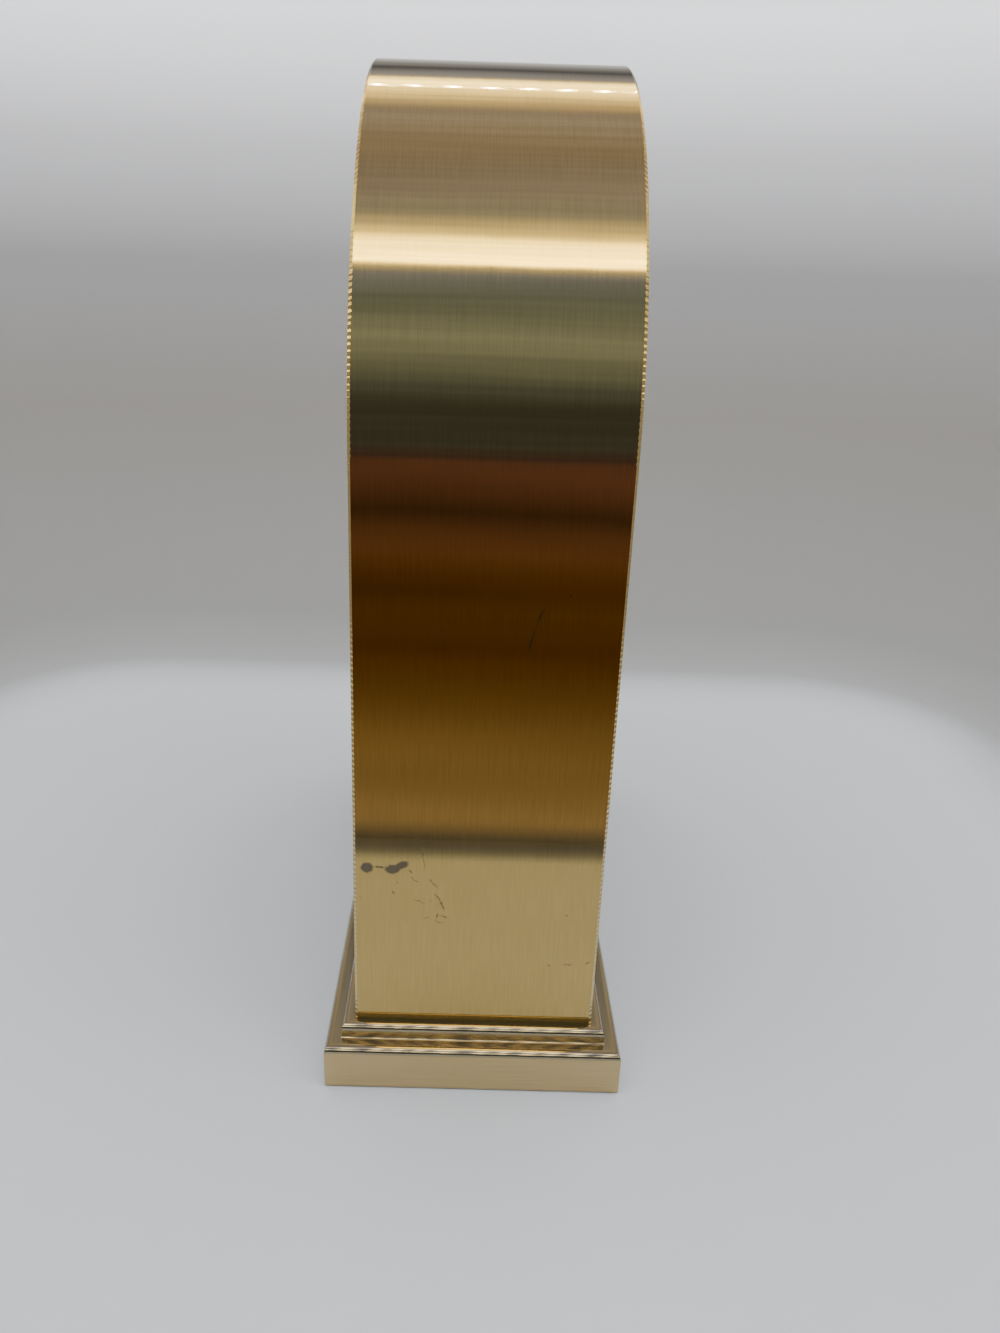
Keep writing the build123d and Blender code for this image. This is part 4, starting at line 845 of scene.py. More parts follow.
# %% Row of single lamps
lamp_spacing = 12.5 * mm
lamp_count = 41
lamp_size = 3.6 * mm
row_x, row_z = -105 * mm, 327 * mm
lamp_material, shader = start_material(
    "lamp_row", Roughness=0.5, Emission_Color=hex_colour("FFF8E6"), Emission_Strength=200
)
bm = bmesh.new()
for number in range(lamp_count):
    y = (number - (lamp_count - 1) / 2) * lamp_spacing
    half_as_wide = Matrix.Translation((row_x, y, row_z)) @ Matrix.Diagonal((1, 0.5, 1, 1))
    bmesh.ops.create_grid(bm, x_segments=1, y_segments=1, size=lamp_size / 2, matrix=half_as_wide)
hang(stage_sheet("lamp_row", bm, lamp_material), band_only)
print("two ceiling strips and", lamp_count, "lamps")

# %% [markdown]
# ## The plinth
# A machined brass block with a stepped upper edge. Each level of the moulding is one rectangle,
# so the piece grows ring by ring: the last ring is extruded and its four corners are moved to the
# next place on the profile. The corners come out mitred, as on the real block. The milling cutter
# left fine lines along the moulding. The moulding is the same brass as the four faces of the slab,
# but it is painted darker and greyer than they are, as painted shade.

# %% Machined brass
mark_spacing, mark_length = 0.3 * mm, 14 * mm
machined_brass = brushed_brass(
    "machined_brass", mark_spacing, mark_length, roughness=0.14, spread=1.0, darker="B89A61",
    paler="D8B87D",
)
# the same brass with darker, greyer colours: painted shade on the moulding
moulding_brass_painted_shade = brushed_brass(
    "milled_moulding_brass",
    mark_spacing,
    mark_length,
    roughness=0.08,
    spread=1.0,
    darker="948465",
    paler="B0A07C",
    lacquer=0.0,
)

# %% Plinth
plinth_low, plinth_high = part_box("plinth")
slab_face = 7.6 * mm
lower_round = 1.35 * mm
lower_ledge = 1.7 * mm
upper_round = 1.3 * mm
cove = 0.35 * mm
round_steps = 12


def quarter(centre, radius, start, end):
    """Points (outward, z) on an arc, by angle in degrees."""
    turns = [radians(start + (end - start) * step / round_steps) for step in range(round_steps + 1)]
    return [(centre[0] + radius * cos(turn), centre[1] + radius * sin(turn)) for turn in turns]


slab_edge = 0.15 * mm
slab_z = plinth_low.z
ledge_z = slab_z + slab_face + lower_round
step_out = -(lower_round + lower_ledge)
profile = [(-2 * slab_edge, slab_z), (0, slab_z + slab_edge)]
profile += quarter((-lower_round, ledge_z - lower_round), lower_round, 0, 90)
profile += quarter((step_out + cove, ledge_z + cove), cove, 270, 180)
profile += quarter((step_out - upper_round, plinth_high.z - upper_round), upper_round, 0, 90)
profile += [(step_out - upper_round - lower_ledge, plinth_high.z)]
bm = bmesh.new()
corners = [(plinth_high.x, plinth_high.y), (-plinth_high.x, plinth_high.y)]
corners += [(-x, -y) for x, y in corners]


def level(outward, z):
    """Four corners of the moulding at one place on its profile."""
    return [(x + outward * copysign(1, x), y + outward * copysign(1, y), z) for x, y in corners]


ring = [bm.verts.new(place) for place in level(*profile[0])]
bm.faces.new(ring)
edges = [bm.edges.get(pair) for pair in zip(ring, ring[1:] + ring[:1])]
for outward, z in profile[1:]:
    grown = bmesh.ops.extrude_edge_only(bm, edges=edges)["geom"]
    edges = edges_of(grown)
    places = level(outward, z)
    for vert in verts_of(grown):
        here = (vert.co.x > 0, vert.co.y > 0)
        vert.co = next(p for p in places if (p[0] > 0, p[1] > 0) == here)
bmesh.ops.holes_fill(bm, edges=edges)
plinth = finish_piece(
    "moulded_plinth", bm, machined_brass, "case", replaced=["plinth"], slot="machined_brass",
    crease=40,
)


def across_plinth(point, face):
    """U and V for marks that run along whichever side the face belongs to."""
    if abs(face.x) - plinth_high.x > abs(face.y) - plinth_high.y:
        return (point.z - abs(point.x), point.y)
    return (point.z - abs(point.y), point.x)


brush_map(plinth, across_plinth)
plinth.data.materials.append(moulding_brass_painted_shade)
# faces that look upwards, and every face above the lower ledge, take the darker, greyer copy:
# painted shade
for face in plinth.data.polygons:
    face.material_index = int(face.normal.z > 0.05 or face.center.z > ledge_z)

# %% [markdown]
# The cutter's lines smear every lamp upright on the rounded edges, into a row of short white
# dashes. A ribbed strip of ceiling stands in for those, and only the plinth sees it.

# %% Ceiling ribs
rib_glow = [  # dark in the middle, where the flat ledges would mirror it
    (0.0, "FFFFFF"),
    (0.41, "FFFFFF"),
    (0.45, "000000"),
    (0.66, "000000"),
    (0.7, "FFFFFF"),
    (1.0, "FFFFFF"),
]
ribs = [(0.16, "202020"), (0.32, "FFFFFF"), (0.6, "FFFFFF"), (0.78, "202020")]
plinth_only = shown_only_to(plinth)
widening = (96 * mm, 190 * mm)
ceiling_strip(
    "ceiling_ribs", plinth_only, widening, -60 * mm, 900 * mm, rib_glow, colour="FFF6D8",
    strength=7, ribs=ribs,
)
print("ribs hung for the plinth")

# %% [markdown]
# ## Turned brass and plate brass
# The bezel, the knob and the ring under the glass are turned on a lathe, so their marks run round
# the axis. The two plates and the door are cut from sheet that was brushed straight. Both use the
# brushed brass from above, with the marks laid round or upright by the piece's UV map.

# %% Turned brass
turned_brass = brushed_brass(
    "turned_brass", 0.18 * mm, 20 * mm, roughness=0.13, spread=0.55, darker="C09E58", paler="DCBC74"
)
plate_brass = brushed_brass(
    "upright_brushed_brass", 0.22 * mm, 12 * mm, roughness=0.24, spread=0.8, darker="C09E58",
    paler="DCBC74",
)


def round_marks(piece, centre):
    """Lays the brush marks round an axis through (x, z) = centre."""
    def place(point, face):
        arm = Vector((point.x - centre[0], point.z - centre[1]))
        around = arm.angle_signed(Vector((0, 1)), 0.0)
        return (arm.length + point.y, around * arm.length)
    brush_map(piece, place)


def upright_marks(piece):
    """Lays the brush marks upright on a plate that faces the front or the back."""
    brush_map(piece, lambda point, face: (point.x + point.y, point.z))


# %% Bezel
bezel_low, bezel_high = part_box("bezel")
dial_centre = (0, axis_z)
bezel_radius = bezel_high.x
face_y = -21.0 * mm
crown_foot_y = face_y - 0.9 * mm
crown_radius = bezel_radius - 0.9 * mm
crown_width = 4.6 * mm
crown_rise = crown_foot_y - bezel_low.y
glass_bore = 44.65 * mm
spigot_radius = 45.95 * mm
sight_radius = 43.2 * mm
lip_y = bezel_low.y + 0.45 * mm
groove_y = lip_y + 0.9 * mm


def oval(centre, width, height, start, end, steps=12):
    """Points (radius, y) on part of an ellipse, by angle in degrees, with y growing to the back."""
    turns = [radians(start + (end - start) * step / steps) for step in range(steps + 1)]
    return [(centre[0] + width * cos(turn), centre[1] - height * sin(turn)) for turn in turns]


edge_break = 0.12 * mm
profile = [(glass_bore, groove_y), (glass_bore, bezel_high.y), (spigot_radius, bezel_high.y)]
profile += [(spigot_radius, face_y), (bezel_radius, face_y)]
profile += [(bezel_radius, crown_foot_y + edge_break), (bezel_radius - edge_break, crown_foot_y)]
profile += [(crown_radius + edge_break, crown_foot_y)]
crown_middle, half_crown = crown_radius - crown_width / 2, crown_width / 2
profile += oval((crown_middle, crown_foot_y), half_crown, crown_rise, 0, 90)
profile += oval((crown_middle, bezel_low.y + edge_break), half_crown, edge_break, 90, 180, 4)
profile += [(sight_radius + edge_break, lip_y - edge_break / 2), (sight_radius, lip_y + edge_break)]
profile += [(sight_radius, groove_y), (glass_bore, groove_y)]
bezel = turned(
    "turned_bezel", profile, turned_brass, "case", dial_centre, 256, replaced=["bezel"],
    slot="turned_brass",
)
round_marks(bezel, dial_centre)

# %% Ring under the glass
ring_low, ring_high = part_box("dial_surround")
ring_slope = 1.1 * mm
profile = [
    (sight_radius, ring_low.y),
    (ring_high.x, ring_low.y),
    (ring_high.x, ring_high.y),
    (sight_radius - ring_slope, ring_high.y),
    (sight_radius - ring_slope, ring_high.y - edge_break),
    (sight_radius, ring_low.y),
]
surround = turned(
    "bevelled_ring", profile, turned_brass, "case", dial_centre, 256, replaced=["dial_surround"],
    slot="turned_brass",
)
round_marks(surround, dial_centre)

# %% [markdown]
# ## Glass
# The clock glass is pressed soda glass, domed and ground flat round its rim. It is one closed
# shell with its real thickness, so that light bends in it as in the real one. It casts no shadow
# here, because a thin clear glass darkens the dial far less than the renderer would.

# %% Clock glass
clock_glass, shader = start_material(
    "pressed_soda_glass",
    Roughness=0.015,
    IOR=1.5,
    Transmission_Weight=1.0,
    Base_Color=hex_colour("FBFDFC"),
)
tree = clock_glass.node_tree
place = add_node(tree, "TexCoord").outputs["Object"]
ripple = add_node(tree, "TexNoise", {"Vector": place, "Scale": 40, "Detail": 1})
wave = add_node(
    tree, "Bump", {"Strength": 0.02, "Distance": 0.05 * mm, "Height": ripple.outputs["Fac"]}
)
fill(shader, {"Normal": wave.outputs[0]})

lens_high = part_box("lens")[1]
glass_thickness = 1.6 * mm
glass_rise = 3.6 * mm
dome_radius = sight_radius - 0.05 * mm


def dome(rim_y, steps=24):
    """Points (radius, y) from the rim of the dome to its middle."""
    sphere = (dome_radius ** 2 + glass_rise ** 2) / (2 * glass_rise)
    widest = asin(dome_radius / sphere)
    turns = [widest * (1 - step / steps) for step in range(steps + 1)]
    return [(sphere * sin(turn), rim_y - sphere * (cos(turn) - cos(widest))) for turn in turns]


front_rim_y = lens_high.y - glass_thickness
rim = [(lens_high.x, lens_high.y), (lens_high.x, front_rim_y)]
profile = dome(lens_high.y)[::-1] + rim + dome(front_rim_y)
lens = turned(
    "domed_glass", profile, clock_glass, "case", dial_centre, replaced=["lens"], slot="clock_glass"
)
lens.visible_shadow = False

# %% [markdown]
# ## Dial
# The dial is an aluminium sheet with a baked off-white enamel, which is faintly uneven and has a
# soft sheen. The numerals and the minute track are printed on it in black ink.

# %% Dial
dial_enamel, shader = start_material(
    "baked_dial_enamel", Roughness=0.42, Coat_Weight=0.25, Coat_Roughness=0.2
)
tree = dial_enamel.node_tree
place = add_node(tree, "TexCoord").outputs["Object"]
cloud = add_node(tree, "TexNoise", {"Vector": place, "Scale": 60, "Detail": 4})
cream = ramp(tree, cloud.outputs["Fac"], [(0.3, "E9E2CF"), (0.7, "F1EBDB")])
grain = add_node(tree, "TexNoise", {"Vector": place, "Scale": 1 / (0.4 * mm), "Detail": 2})
peel = add_node(
    tree, "Bump", {"Strength": 0.08, "Distance": 0.02 * mm, "Height": grain.outputs["Fac"]}
)
fill(shader, {"Base Color": cream.outputs[0], "Normal": peel.outputs[0]})

dial_low, dial_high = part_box("dial")
hole_radius = 4.15 * mm
profile = [(hole_radius, dial_low.y), (dial_high.x, dial_low.y), (dial_high.x, dial_high.y)]
profile += [(hole_radius, dial_high.y), (hole_radius, dial_low.y)]
turned(
    "dial_sheet", profile, dial_enamel, "case", dial_centre, replaced=["dial"], slot="dial_sheet"
)

# %% [markdown]
# The numerals are Roman, and each stands with its foot towards the centre. A numeral is a row of
# strokes: I is one thick stroke, V and X are a thick and a thin one that lean, and thin bars
# close the head and the foot. Every stroke is one face, and a single extrusion gives all of them
# the thickness of the ink.

# %% Dial print
ink, shader = start_material("black_printing_ink", Roughness=0.5)
tree = ink.node_tree
place = add_node(tree, "TexCoord").outputs["Object"]
speck = add_node(tree, "TexNoise", {"Vector": place, "Scale": 1800, "Detail": 2})
black = ramp(tree, speck.outputs["Fac"], [(0.35, "0C0C0D"), (0.65, "17171A")])
fill(shader, {"Base Color": black.outputs[0]})

ink_height = 0.03 * mm
ink_y = dial_low.y - 0.01 * mm
numeral_foot, numeral_head = 29.2 * mm, 36.6 * mm
track_inner, track_outer = 38.4 * mm, 40.2 * mm
track_line = 0.18 * mm
hour_mark, minute_mark = 0.8 * mm, 0.22 * mm
thick, thin, bar = 1.05 * mm, 0.36 * mm, 0.3 * mm
letter_widths = {"I": 2.0 * mm, "V": 4.5 * mm, "X": 4.7 * mm}
numerals = ["XII", "I", "II", "III", "IIII", "V", "VI", "VII", "VIII", "IX", "X", "XI"]


def print_face(bm, corners, clock_angle):
    """One printed patch from (sideways, outward) corners, turned to its place on the dial."""
    turn = Matrix.Rotation(clock_angle, 2)
    verts = []
    for corner in corners:
        x, z = Vector(corner) @ turn
        verts.append(bm.verts.new((x, ink_y, axis_z + z)))
    bm.faces.new(verts)


def stroke(bm, foot, head, width, low, high, clock_angle):
    """Leaning stroke from foot to head, given by its middle at each end."""
    half = width / 2
    corners = [(foot - half, low), (foot + half, low), (head + half, high), (head - half, high)]
    print_face(bm, corners, clock_angle)


def letter(bm, kind, middle, clock_angle):
    """One letter of a numeral, with its bars."""
    low, high = numeral_foot, numeral_head
    lean = (letter_widths[kind] - thick) / 2 - 0.25 * mm
    half = letter_widths[kind] / 2 - 0.12 * mm
    if kind == "I":
        stroke(bm, middle, middle, thick, low, high, clock_angle)
    if kind == "V":
        stroke(bm, middle, middle - lean, thick, low, high, clock_angle)
        stroke(bm, middle + thin, middle + lean, thin, low, high, clock_angle)
    if kind == "X":
        stroke(bm, middle + lean, middle - lean, thick, low, high, clock_angle)
        stroke(bm, middle - lean, middle + lean, thin, low, high, clock_angle)
    stroke(bm, middle, middle, 2 * half, high - bar / 2, high + bar / 2, clock_angle)
    if kind != "V":
        stroke(bm, middle, middle, 2 * half, low - bar / 2, low + bar / 2, clock_angle)


bm = bmesh.new()
for hour, numeral in enumerate(numerals):
    angle = radians(30 * hour)
    reach = -sum(letter_widths[kind] for kind in numeral) / 2
    for kind in numeral:
        letter(bm, kind, reach + letter_widths[kind] / 2, angle)
        reach += letter_widths[kind]
for minute in range(60):
    width = minute_mark if minute % 5 else hour_mark
    stroke(bm, 0, 0, width, track_inner, track_outer, radians(6 * minute))
for radius in (track_inner, track_outer):
    verts, edges = open_chain(
        bm, [(radius - track_line / 2, ink_y, axis_z), (radius + track_line / 2, ink_y, axis_z)]
    )
    bmesh.ops.spin(
        bm, geom=verts + edges, cent=(0, 0, axis_z), axis=(0, 1, 0), angle=2 * pi, steps=180,
        use_merge=True,
    )
raised = bmesh.ops.extrude_face_region(bm, geom=bm.faces[:])["geom"]
bmesh.ops.translate(bm, verts=verts_of(raised), vec=(0, -ink_height, 0))
finish_piece("dial_print", bm, ink, "case", slot="dial_sheet")

# %% [markdown]
# ## Front plate, back plate and door
# A plate starts as its outline: two straight legs, a half circle and a round opening, all drawn
# as edges. Filling the edges makes the face, extruding it gives the plate its thickness, and a
# small bevel breaks the edges as a file would.

# %% Plates
edge_steps = 192


def in_order(items):
    """The items without repeats, in the order in which they came."""
    return list(dict.fromkeys(items))


def circle_edges(bm, radius, y):
    """Closed ring of edges about the dial's centre."""
    upright = Matrix.Translation((0, y, axis_z)) @ Matrix.Rotation(pi / 2, 4, "X")
    ring = bmesh.ops.create_circle(bm, segments=edge_steps, radius=radius, matrix=upright)["verts"]
    return in_order(edge for vert in ring for edge in vert.link_edges)


def arch_edges(bm, radius, foot, y):
    """Closed outline of a round-topped plate."""
    start = bm.verts.new((-radius, y, axis_z))
    arc = bmesh.ops.spin(
        bm, geom=[start], cent=(0, 0, axis_z), axis=(0, 1, 0), angle=pi, steps=edge_steps // 2
    )["geom_last"]
    end = verts_of(arc)[0]
    feet = [bm.verts.new((radius, y, foot)), bm.verts.new((-radius, y, foot))]
    bm.edges.new((end, feet[0]))
    bm.edges.new(feet)
    bm.edges.new((feet[1], start))
    return bm.edges[:]


def break_edges(bm, width):
    """Small bevel on every edge where two faces meet at more than 50 degrees."""
    joined = [edge for edge in bm.edges if len(edge.link_faces) == 2]
    bmesh.ops.bevel(
        bm,
        geom=[edge for edge in joined if edge.calc_face_angle(0) > radians(50)],
        offset=width,
        segments=2,
        profile=0.5,
        affect="EDGES",
        material=-1,
        clamp_overlap=True,
    )


def round_topped_plate(name, node, opening_radius, slot):
    """Plate that fills the band, with a round opening, in place of its solid."""
    low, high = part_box(node)
    bm = bmesh.new()
    edges = arch_edges(bm, high.x, low.z, low.y) + circle_edges(bm, opening_radius, low.y)
    bmesh.ops.triangle_fill(bm, use_beauty=True, edges=in_order(edges), normal=(0, -1, 0))
    thick_part = bmesh.ops.extrude_face_region(bm, geom=bm.faces[:])["geom"]
    bmesh.ops.translate(bm, verts=verts_of(thick_part), vec=(0, high.y - low.y, 0))
    bmesh.ops.recalc_face_normals(bm, faces=bm.faces)
    break_edges(bm, edge_break)
    upright_marks(finish_piece(name, bm, plate_brass, "case", replaced=[node], slot=slot))


round_topped_plate("face_plate", "front_plate", 46 * mm, "plate_brass")
round_topped_plate("rear_plate", "back_plate", 39.5 * mm, "plate_brass")

# %% Door
door_low, door_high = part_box("back_door")
door_radius = -door_low.x
door_round = 0.6 * mm
profile = [(0, door_low.y), (door_radius, door_low.y)]
profile += oval(
    (door_radius - door_round, door_high.y - door_round), door_round, -door_round, 0, 90, 8
)
profile += [(0, door_high.y)]
door = turned(
    "round_door", profile, plate_brass, "door", dial_centre, replaced=["back_door"],
    slot="plate_brass",
)
upright_marks(door)

# %% Door knob
knob_low, knob_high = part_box("door_knob")
knob_radius = (knob_high.x - knob_low.x) / 2
knob_centre = ((knob_high.x + knob_low.x) / 2, axis_z)
neck = 2.0 * mm
cap_rise = 1.7 * mm
cap_foot_y = knob_high.y - cap_rise
waist_depth = knob_radius - neck
profile = [(0, knob_low.y), (neck / 2, knob_low.y), (neck / 2, door_high.y)]
profile += [(knob_radius - edge_break, door_high.y)]
waist_middle = (door_high.y + cap_foot_y) / 2
waist_half = (cap_foot_y - door_high.y) / 2
profile += [
    (knob_radius - waist_depth * cos(pi / 2 * share), waist_middle + waist_half * share)
    for share in [step / 8 for step in range(-8, 9)]
]
sphere = (knob_radius ** 2 + cap_rise ** 2) / (2 * cap_rise)
widest = asin(knob_radius / sphere)
profile += [
    (sphere * sin(widest * share), cap_foot_y + sphere * (cos(widest * share) - cos(widest)))
    for share in [1 - step / 10 for step in range(1, 11)]
]
knob = turned(
    "turned_knob", profile, turned_brass, "door", knob_centre, 64, replaced=["door_knob"],
    slot="turned_brass",
)
round_marks(knob, knob_centre)

# %% [markdown]
# ## Finishes for the rest of the clock
# Every other solid keeps its own finish, also inside, where only the open door shows it. The
# finishes are all made the same way: fine noise in Object coordinates gives the grain, and broad
# noise gives the slow drift of colour and shine that handling and moulding leave. Grain sizes are
# in millimetres, and those finer than about 0.1 mm are drawn coarser, because they would not show
# at all.

# %% Helper for grained finishes
def grained(name, darker, paler, grain, roughness, relief=0.1, stretch=(1, 1, 1), **inputs):
    """Finish whose grain has a real size in metres; some axes may stretch it."""
    material, shader = start_material(name, **inputs)
    tree = material.node_tree
    place = add_node(tree, "TexCoord").outputs["Object"]
    stretched = add_node(tree, "Mapping", {"Vector": place, "Scale": stretch})
    fine = add_node(
        tree, "TexNoise",
        {"Vector": stretched.outputs[0], "Scale": 1 / grain, "Detail": 4, "Roughness": 0.6},
    )
    broad = add_node(tree, "TexNoise", {"Vector": place, "Scale": 0.08 / grain, "Detail": 2})
    both = add_node(tree, "Mix", {0: 0.35, 2: fine.outputs["Fac"], 3: broad.outputs["Fac"]})
    tint = ramp(tree, both.outputs[0], [(0.36, darker), (0.64, paler)])
    uneven = add_node(tree, "MapRange", {
        "Value": broad.outputs["Fac"],
        "From Min": 0.3,
        "From Max": 0.7,
        "To Min": roughness * 0.85,
        "To Max": roughness * 1.15,
    })
    bump = add_node(
        tree, "Bump", {"Strength": relief, "Distance": grain, "Height": fine.outputs["Fac"]}
    )
    fill(shader, {
        "Base Color": tint.outputs[0],
        "Roughness": uneven.outputs[0],
        "Normal": bump.outputs[0],
    })
    return material


def dress(material, *nodes):
    """Gives CAD solids this finish through their material slots."""
    for node in nodes:
        for material_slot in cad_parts[node].material_slots:
            material_slot.material = material
        finished.append(node)


finished = []

# %% [markdown]
# Small pieces are easier to dress than to model again: a copy of the solid has its triangles
# merged, its flat faces joined, and its sharp edges broken by a narrow bevel that catches the
# light, as the tumbling drum or the file leaves them. The copy then stands for the solid.

# %% Helper for broken edges
def softened(name, node, material, body, slot, width):
    """Copy of a CAD solid with its edges broken, in place of the solid."""
    bm = bmesh.new()
    bm.from_mesh(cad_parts[node].data)
    bmesh.ops.remove_doubles(bm, verts=bm.verts, dist=0.002 * mm)
    bmesh.ops.dissolve_limit(bm, angle_limit=radians(0.5), verts=bm.verts, edges=bm.edges)
    bmesh.ops.recalc_face_normals(bm, faces=bm.faces)
    break_edges(bm, width)
    bmesh.ops.triangulate(bm, faces=[face for face in bm.faces if len(face.verts) > 4])
    finished.append(node)
    return finish_piece(name, bm, material, body, replaced=[node], slot=slot)


# %% [markdown]
# ### Hands
# The hands are stamped from steel strip and stoved with black enamel. The enamel pulls back a
# little from the edges as it bakes, so the edges look rounded, and it flows to a soft, slightly
# wavy gloss.

# %% Hands
stove_enamel = grained(
    "black_stove_enamel", "08080A", "121216", 0.4 * mm, 0.22, relief=0.02, Coat_Weight=0.4,
    Coat_Roughness=0.08,
)
softened("enamelled_hour_hand", "hour_hand", stove_enamel, "hour_drive", "hand_enamel", 0.06 * mm)
softened(
    "enamelled_minute_hand", "minute_hand", stove_enamel, "minute_drive", "hand_enamel", 0.06 * mm
)

# %% [markdown]
# ### Small brass
# Screws, rivets, nuts, pillars and the hinge pin are turned from drawn rod on an automatic lathe.
# The cutting tool leaves rings about the axis, which runs from front to back on nearly all of
# them, so the grain is squeezed along that axis. The hinge pin stands upright and has its rings
# the other way.

# %% Rod brass
rod_brass = grained(
    "lathe_turned_rod_brass", "BE9A54", "DCBA70", 0.5 * mm, 0.2, relief=0.05, stretch=(0.3, 3, 0.3),
    Metallic=1.0,
)
upright_rod_brass = grained(
    "upright_rod_brass", "BE9A54", "DCBA70", 0.5 * mm, 0.2, relief=0.05, stretch=(0.3, 0.3, 3),
    Metallic=1.0,
)
softened("brass_hand_nut", "hand_nut", rod_brass, "minute_drive", "turned_brass", 0.1 * mm)
softened("brass_dial_nut", "dial_nut", rod_brass, "case", "brass_screw", 0.12 * mm)
softened("brass_plate_screws", "plate_screws", rod_brass, "case", "brass_screw", 0.1 * mm)
softened("brass_hinge_rivets", "hinge_rivets", rod_brass, "case", "brass_screw", 0.1 * mm)
softened("brass_door_rivets", "door_rivets", rod_brass, "door", "brass_screw", 0.1 * mm)
softened("turned_pillars", "pillars", rod_brass, "case", "turned_brass", 0.15 * mm)
softened("turned_hinge_pin", "hinge_pin", upright_rod_brass, "case", "turned_brass", 0.1 * mm)
dress(rod_brass, "minute_arbor")

# %% [markdown]
# ### Sheet brass
# The hinge leaves and the floor of the case are blanked from rolled sheet. Rolling draws the
# grain out lengthwise, here along x, and the metal is left as it came, a little duller than the
# polished case. The catch spring is cut from hard-rolled strip, which is smoother and redder.

# %% Sheet brass
sheet_brass = grained(
    "rolled_sheet_brass", "B08C4A", "CEAC64", 0.35 * mm, 0.3, relief=0.04, stretch=(0.15, 1, 1.5),
    Metallic=1.0,
)
spring_brass = grained(
    "hard_rolled_spring_brass", "B8863E", "D4A458", 0.25 * mm, 0.24, relief=0.03,
    stretch=(0.2, 1, 1), Metallic=1.0,
)
softened("sheet_hinge_door_leaf", "hinge_door_leaf", sheet_brass, "door", "plate_brass", 0.12 * mm)
softened(
    "sheet_hinge_fixed_leaf", "hinge_fixed_leaf", sheet_brass, "case", "plate_brass", 0.12 * mm
)
dress(sheet_brass, "case_floor")
dress(spring_brass, "door_spring")

# %% [markdown]
# ### Steel and iron
# The screws that hold the dial and the base are zinc-plated steel, bluish and slightly cloudy.
# The battery contacts and the clutch spring are spring steel with bright nickel on it. The stator
# and the core of the coil are silicon iron, punched from sheet that has a grey insulating film.

# %% Steel and iron
zinc_plate = grained(
    "zinc_plated_steel", "AEB4BA", "C8CDD2", 0.6 * mm, 0.3, relief=0.03, Metallic=1.0
)
nickel_plate = grained(
    "nickel_plated_spring_steel", "B8B4AA", "D2CEC6", 0.4 * mm, 0.18, relief=0.02, Metallic=1.0
)
silicon_iron = grained(
    "silicon_iron_sheet", "6C6E72", "8A8C90", 0.3 * mm, 0.42, relief=0.05, stretch=(0.3, 1, 1),
    Metallic=1.0,
)
softened("plated_dial_screws", "dial_screws", zinc_plate, "case", "steel_screw", 0.08 * mm)
softened("plated_tie_screws", "tie_screws", zinc_plate, "case", "steel_screw", 0.1 * mm)
dress(nickel_plate, "negative_contact", "positive_contact", "clutch_spring")
dress(silicon_iron, "stator", "coil_core")

# %% [markdown]
# ### Felt and rubber
# The base rests on a sheet of wool felt, matt and fuzzy, with fibres a few tenths of a millimetre
# apart. The soft sheen is the light caught in the loose fibre ends. The gasket round the glass
# and the washer behind the dial are nitrile rubber, black and nearly matt with a faint bloom.

# %% Felt and rubber
felt = grained(
    "wool_felt", "1E3A2A", "2E5440", 0.5 * mm, 0.95, relief=0.8, Sheen_Weight=0.6,
    Sheen_Roughness=0.4,
)
nitrile = grained("nitrile_rubber", "151516", "222224", 0.3 * mm, 0.62, relief=0.15)
softened("felt_base", "base_felt", felt, "case", "felt", 0.2 * mm)
dress(nitrile, "glass_gasket", "rubber_washer")

# %% [markdown]
# ### The movement's plastics
# The two halves of the housing are moulded in black ABS with the fine sparked texture of the
# mould, about 0.15 mm coarse, and the setting knob is moulded in the same plastic, polished. The
# wheels are white acetal, which is waxy and lets a little light in, and the plate that carries
# them and the bobbin are natural polystyrene and nylon.

# %% Plastics
sparked_abs = grained("spark_textured_abs", "161719", "222427", 0.18 * mm, 0.5, relief=0.3)
polished_abs = grained("polished_abs", "1A1B1D", "26282B", 0.5 * mm, 0.26, relief=0.03)
acetal = grained(
    "white_acetal", "DCD9CE", "ECE9DF", 0.8 * mm, 0.34, relief=0.02, Subsurface_Weight=0.15,
    Subsurface_Scale=0.3 * mm,
)
polystyrene = grained("natural_polystyrene", "C8C6BC", "DAD8CE", 0.8 * mm, 0.38, relief=0.03)
nylon = grained("natural_nylon", "D8CFB4", "E6DEC6", 0.6 * mm, 0.45, relief=0.05)
softened("abs_back_shell", "movement_back_shell", sparked_abs, "case", "housing_plastic", 0.15 * mm)
softened(
    "abs_front_shell", "movement_front_shell", sparked_abs, "case", "housing_plastic", 0.15 * mm
)
softened("abs_setting_knob", "set_knob", polished_abs, "setting_drive", "knob_plastic", 0.1 * mm)
dress(polystyrene, "train_plate")
dress(nylon, "coil_bobbin")
dress(
    acetal,
    "hour_wheel",
    "minute_wheel",
    "centre_wheel",
    "third_wheel",
    "intermediate_wheel",
    "seconds_wheel",
    "rotor_pinion",
)

# %% [markdown]
# ### Coil and circuit
# The coil is enamelled copper wire, laid side by side. The real wire is thinner than a hair, so
# the turns are drawn 0.3 mm apart. The board is phenolic paper, brown with a faint fibre, the
# chip is a drop of black epoxy, and the crystal sits in a nickel-plated can. The rotor is a
# sintered ferrite magnet, dark and finely gritty.

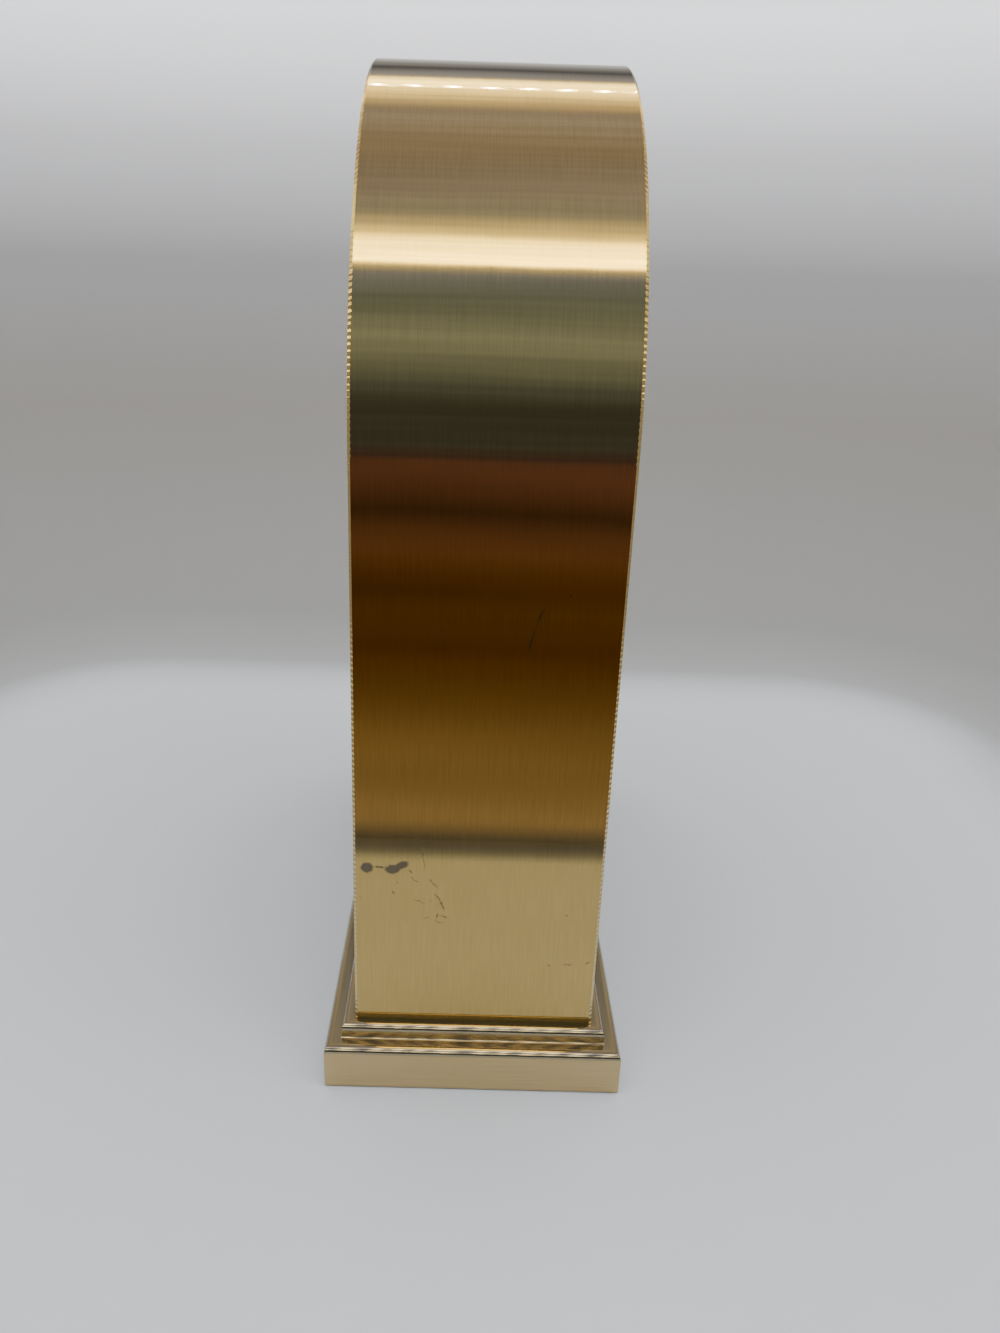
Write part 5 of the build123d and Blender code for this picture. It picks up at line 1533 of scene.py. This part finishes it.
# %% Coil and circuit
copper = grained(
    "enamelled_copper_wire", "8E3E1C", "C06A38", 0.3 * mm, 0.3, relief=0.2, stretch=(1, 0.1, 0.1),
    Metallic=1.0,
)
tree = copper.node_tree
shader = tree.nodes["Principled BSDF"]
place = add_node(tree, "TexCoord").outputs["Object"]
wire_spacing = 0.3 * mm
wave_at_scale_one = 0.314  # the wave texture repeats once in this length at a scale of 1
turns = add_node(
    tree,
    "TexWave",
    {"Vector": place, "Scale": wave_at_scale_one / wire_spacing},
    bands_direction="X",
    wave_profile="SIN",
)
wound = add_node(
    tree, "Bump", {"Strength": 0.8, "Distance": wire_spacing / 3, "Height": turns.outputs["Fac"]}
)
fill(shader, {"Normal": wound.outputs[0]})
phenolic = grained(
    "phenolic_paper_laminate", "6E3E1C", "8C5428", 0.4 * mm, 0.4, relief=0.05, stretch=(1, 1, 0.2)
)
epoxy = grained("black_epoxy_resin", "0E0E10", "1A1A1D", 0.5 * mm, 0.3, relief=0.05)
nickel_can = grained(
    "nickel_plated_can", "B4B4B2", "D0D0CE", 0.4 * mm, 0.2, relief=0.02, Metallic=1.0
)
ferrite = grained("sintered_ferrite", "2C2C30", "404046", 0.15 * mm, 0.55, relief=0.2)
dress(copper, "coil_winding")
dress(phenolic, "circuit_board")
dress(epoxy, "chip")
dress(nickel_can, "quartz_crystal")
dress(ferrite, "rotor_magnet")

# %% [markdown]
# ### Battery
# The cell is a drawn steel can in a printed plastic sleeve. Its outline is turned about the
# cell's own axis: the flat negative end with its groove, the sleeve with its rolled ends, and the
# stepped positive end with its button. The sleeve is shrunk on, so it has a satin gloss and very
# fine lengthwise creases.

# %% Battery
battery_low, battery_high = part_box("battery")
cell_radius = (battery_high.z - battery_low.z) / 2
cell_y, cell_z = (battery_low.y + battery_high.y) / 2, (battery_low.z + battery_high.z) / 2
print("cell", round(2 * cell_radius / mm, 2), "mm across")
pale_end = 0.74  # share of the cell's length from which the sleeve is silver grey
sleeve = grained(
    "shrunk_printed_sleeve", "1E2E44", "263850", 0.6 * mm, 0.3, relief=0.03, stretch=(0.05, 1, 1),
    Coat_Weight=0.3,
)
tree = sleeve.node_tree
shader = tree.nodes["Principled BSDF"]
along = add_node(tree, "SeparateXYZ", {0: add_node(tree, "TexCoord").outputs["Object"]})
share = add_node(
    tree,
    "MapRange",
    {"Value": along.outputs["X"], "From Min": battery_low.x, "From Max": battery_high.x},
)
is_pale = add_node(tree, "Math", {0: share.outputs[0], 1: pale_end}, operation="GREATER_THAN")
navy = shader.inputs["Base Color"].links[0].from_socket
printed = add_node(
    tree, "Mix", {0: is_pale.outputs[0], 6: navy, 7: hex_colour("B9BDC2")}, data_type="RGBA"
)
fill(shader, {"Base Color": printed.outputs[2]})
steel_can = grained(
    "nickel_plated_steel_can", "B0B0AE", "CCCCCA", 0.4 * mm, 0.22, relief=0.02, Metallic=1.0
)

# %% Cell
button_radius = 2.7 * mm
button_height = 1.0 * mm
shoulder = 0.5 * mm
groove = 0.25 * mm
dish = 0.35 * mm  # depth of the hollow in the negative end
set_back = 0.3 * mm  # how far the sleeve's rolled ends and the washer lie behind the can's ends
length = battery_high.x - battery_low.x
rim = length - button_height
profile = [  # (distance along the axis from the negative end, radius)
    (dish, 0),
    (dish, cell_radius - 2.4 * mm),
    (0, cell_radius - 2.1 * mm),
    (0, cell_radius - 1.2 * mm),
    (set_back, cell_radius - 0.9 * mm),
    (set_back, cell_radius - shoulder),
    (set_back + shoulder / 2, cell_radius - 0.1 * mm),
    (set_back + shoulder, cell_radius),
    (rim - 1.6 * mm, cell_radius),
    (rim - 1.3 * mm, cell_radius - groove / 2),
    (rim - shoulder, cell_radius - groove / 2),
    (rim, cell_radius - shoulder - groove),
    (rim - set_back, cell_radius - 1.2 * mm),
    (rim - set_back, button_radius + set_back),
    (rim, button_radius),
    (length - 0.2 * mm, button_radius),
    (length, button_radius - set_back),
    (length, 0),
]
bm = bmesh.new()
verts, edges = open_chain(
    bm, [(battery_low.x + x, cell_y, cell_z + radius) for x, radius in profile]
)
bmesh.ops.spin(
    bm, geom=verts + edges, cent=(0, cell_y, cell_z), axis=(1, 0, 0), angle=2 * pi, steps=96,
    use_merge=True,
)
bmesh.ops.remove_doubles(bm, verts=bm.verts, dist=same_place)
cell = finish_piece(
    "sleeved_cell", bm, sleeve, "battery_body", replaced=["battery"], slot="battery_jacket"
)
cell.data.materials.append(steel_can)
bare_radius = cell_radius - 0.75 * mm
for face in cell.data.polygons:
    reach = Vector((face.center.y - cell_y, face.center.z - cell_z)).length
    face.material_index = int(reach < bare_radius)
finished.append("battery")

# %% [markdown]
# The list below has to come out empty: it names any solid that has no finish and that no new
# piece stands for.

# %% Every solid has its finish
made_new = [
    "case_band", "plinth", "bezel", "dial_surround", "lens", "dial", "front_plate", "back_plate"
]
made_new += ["back_door", "door_knob"]
print("left without a finish:", sorted(set(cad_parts) - set(finished) - set(made_new)))
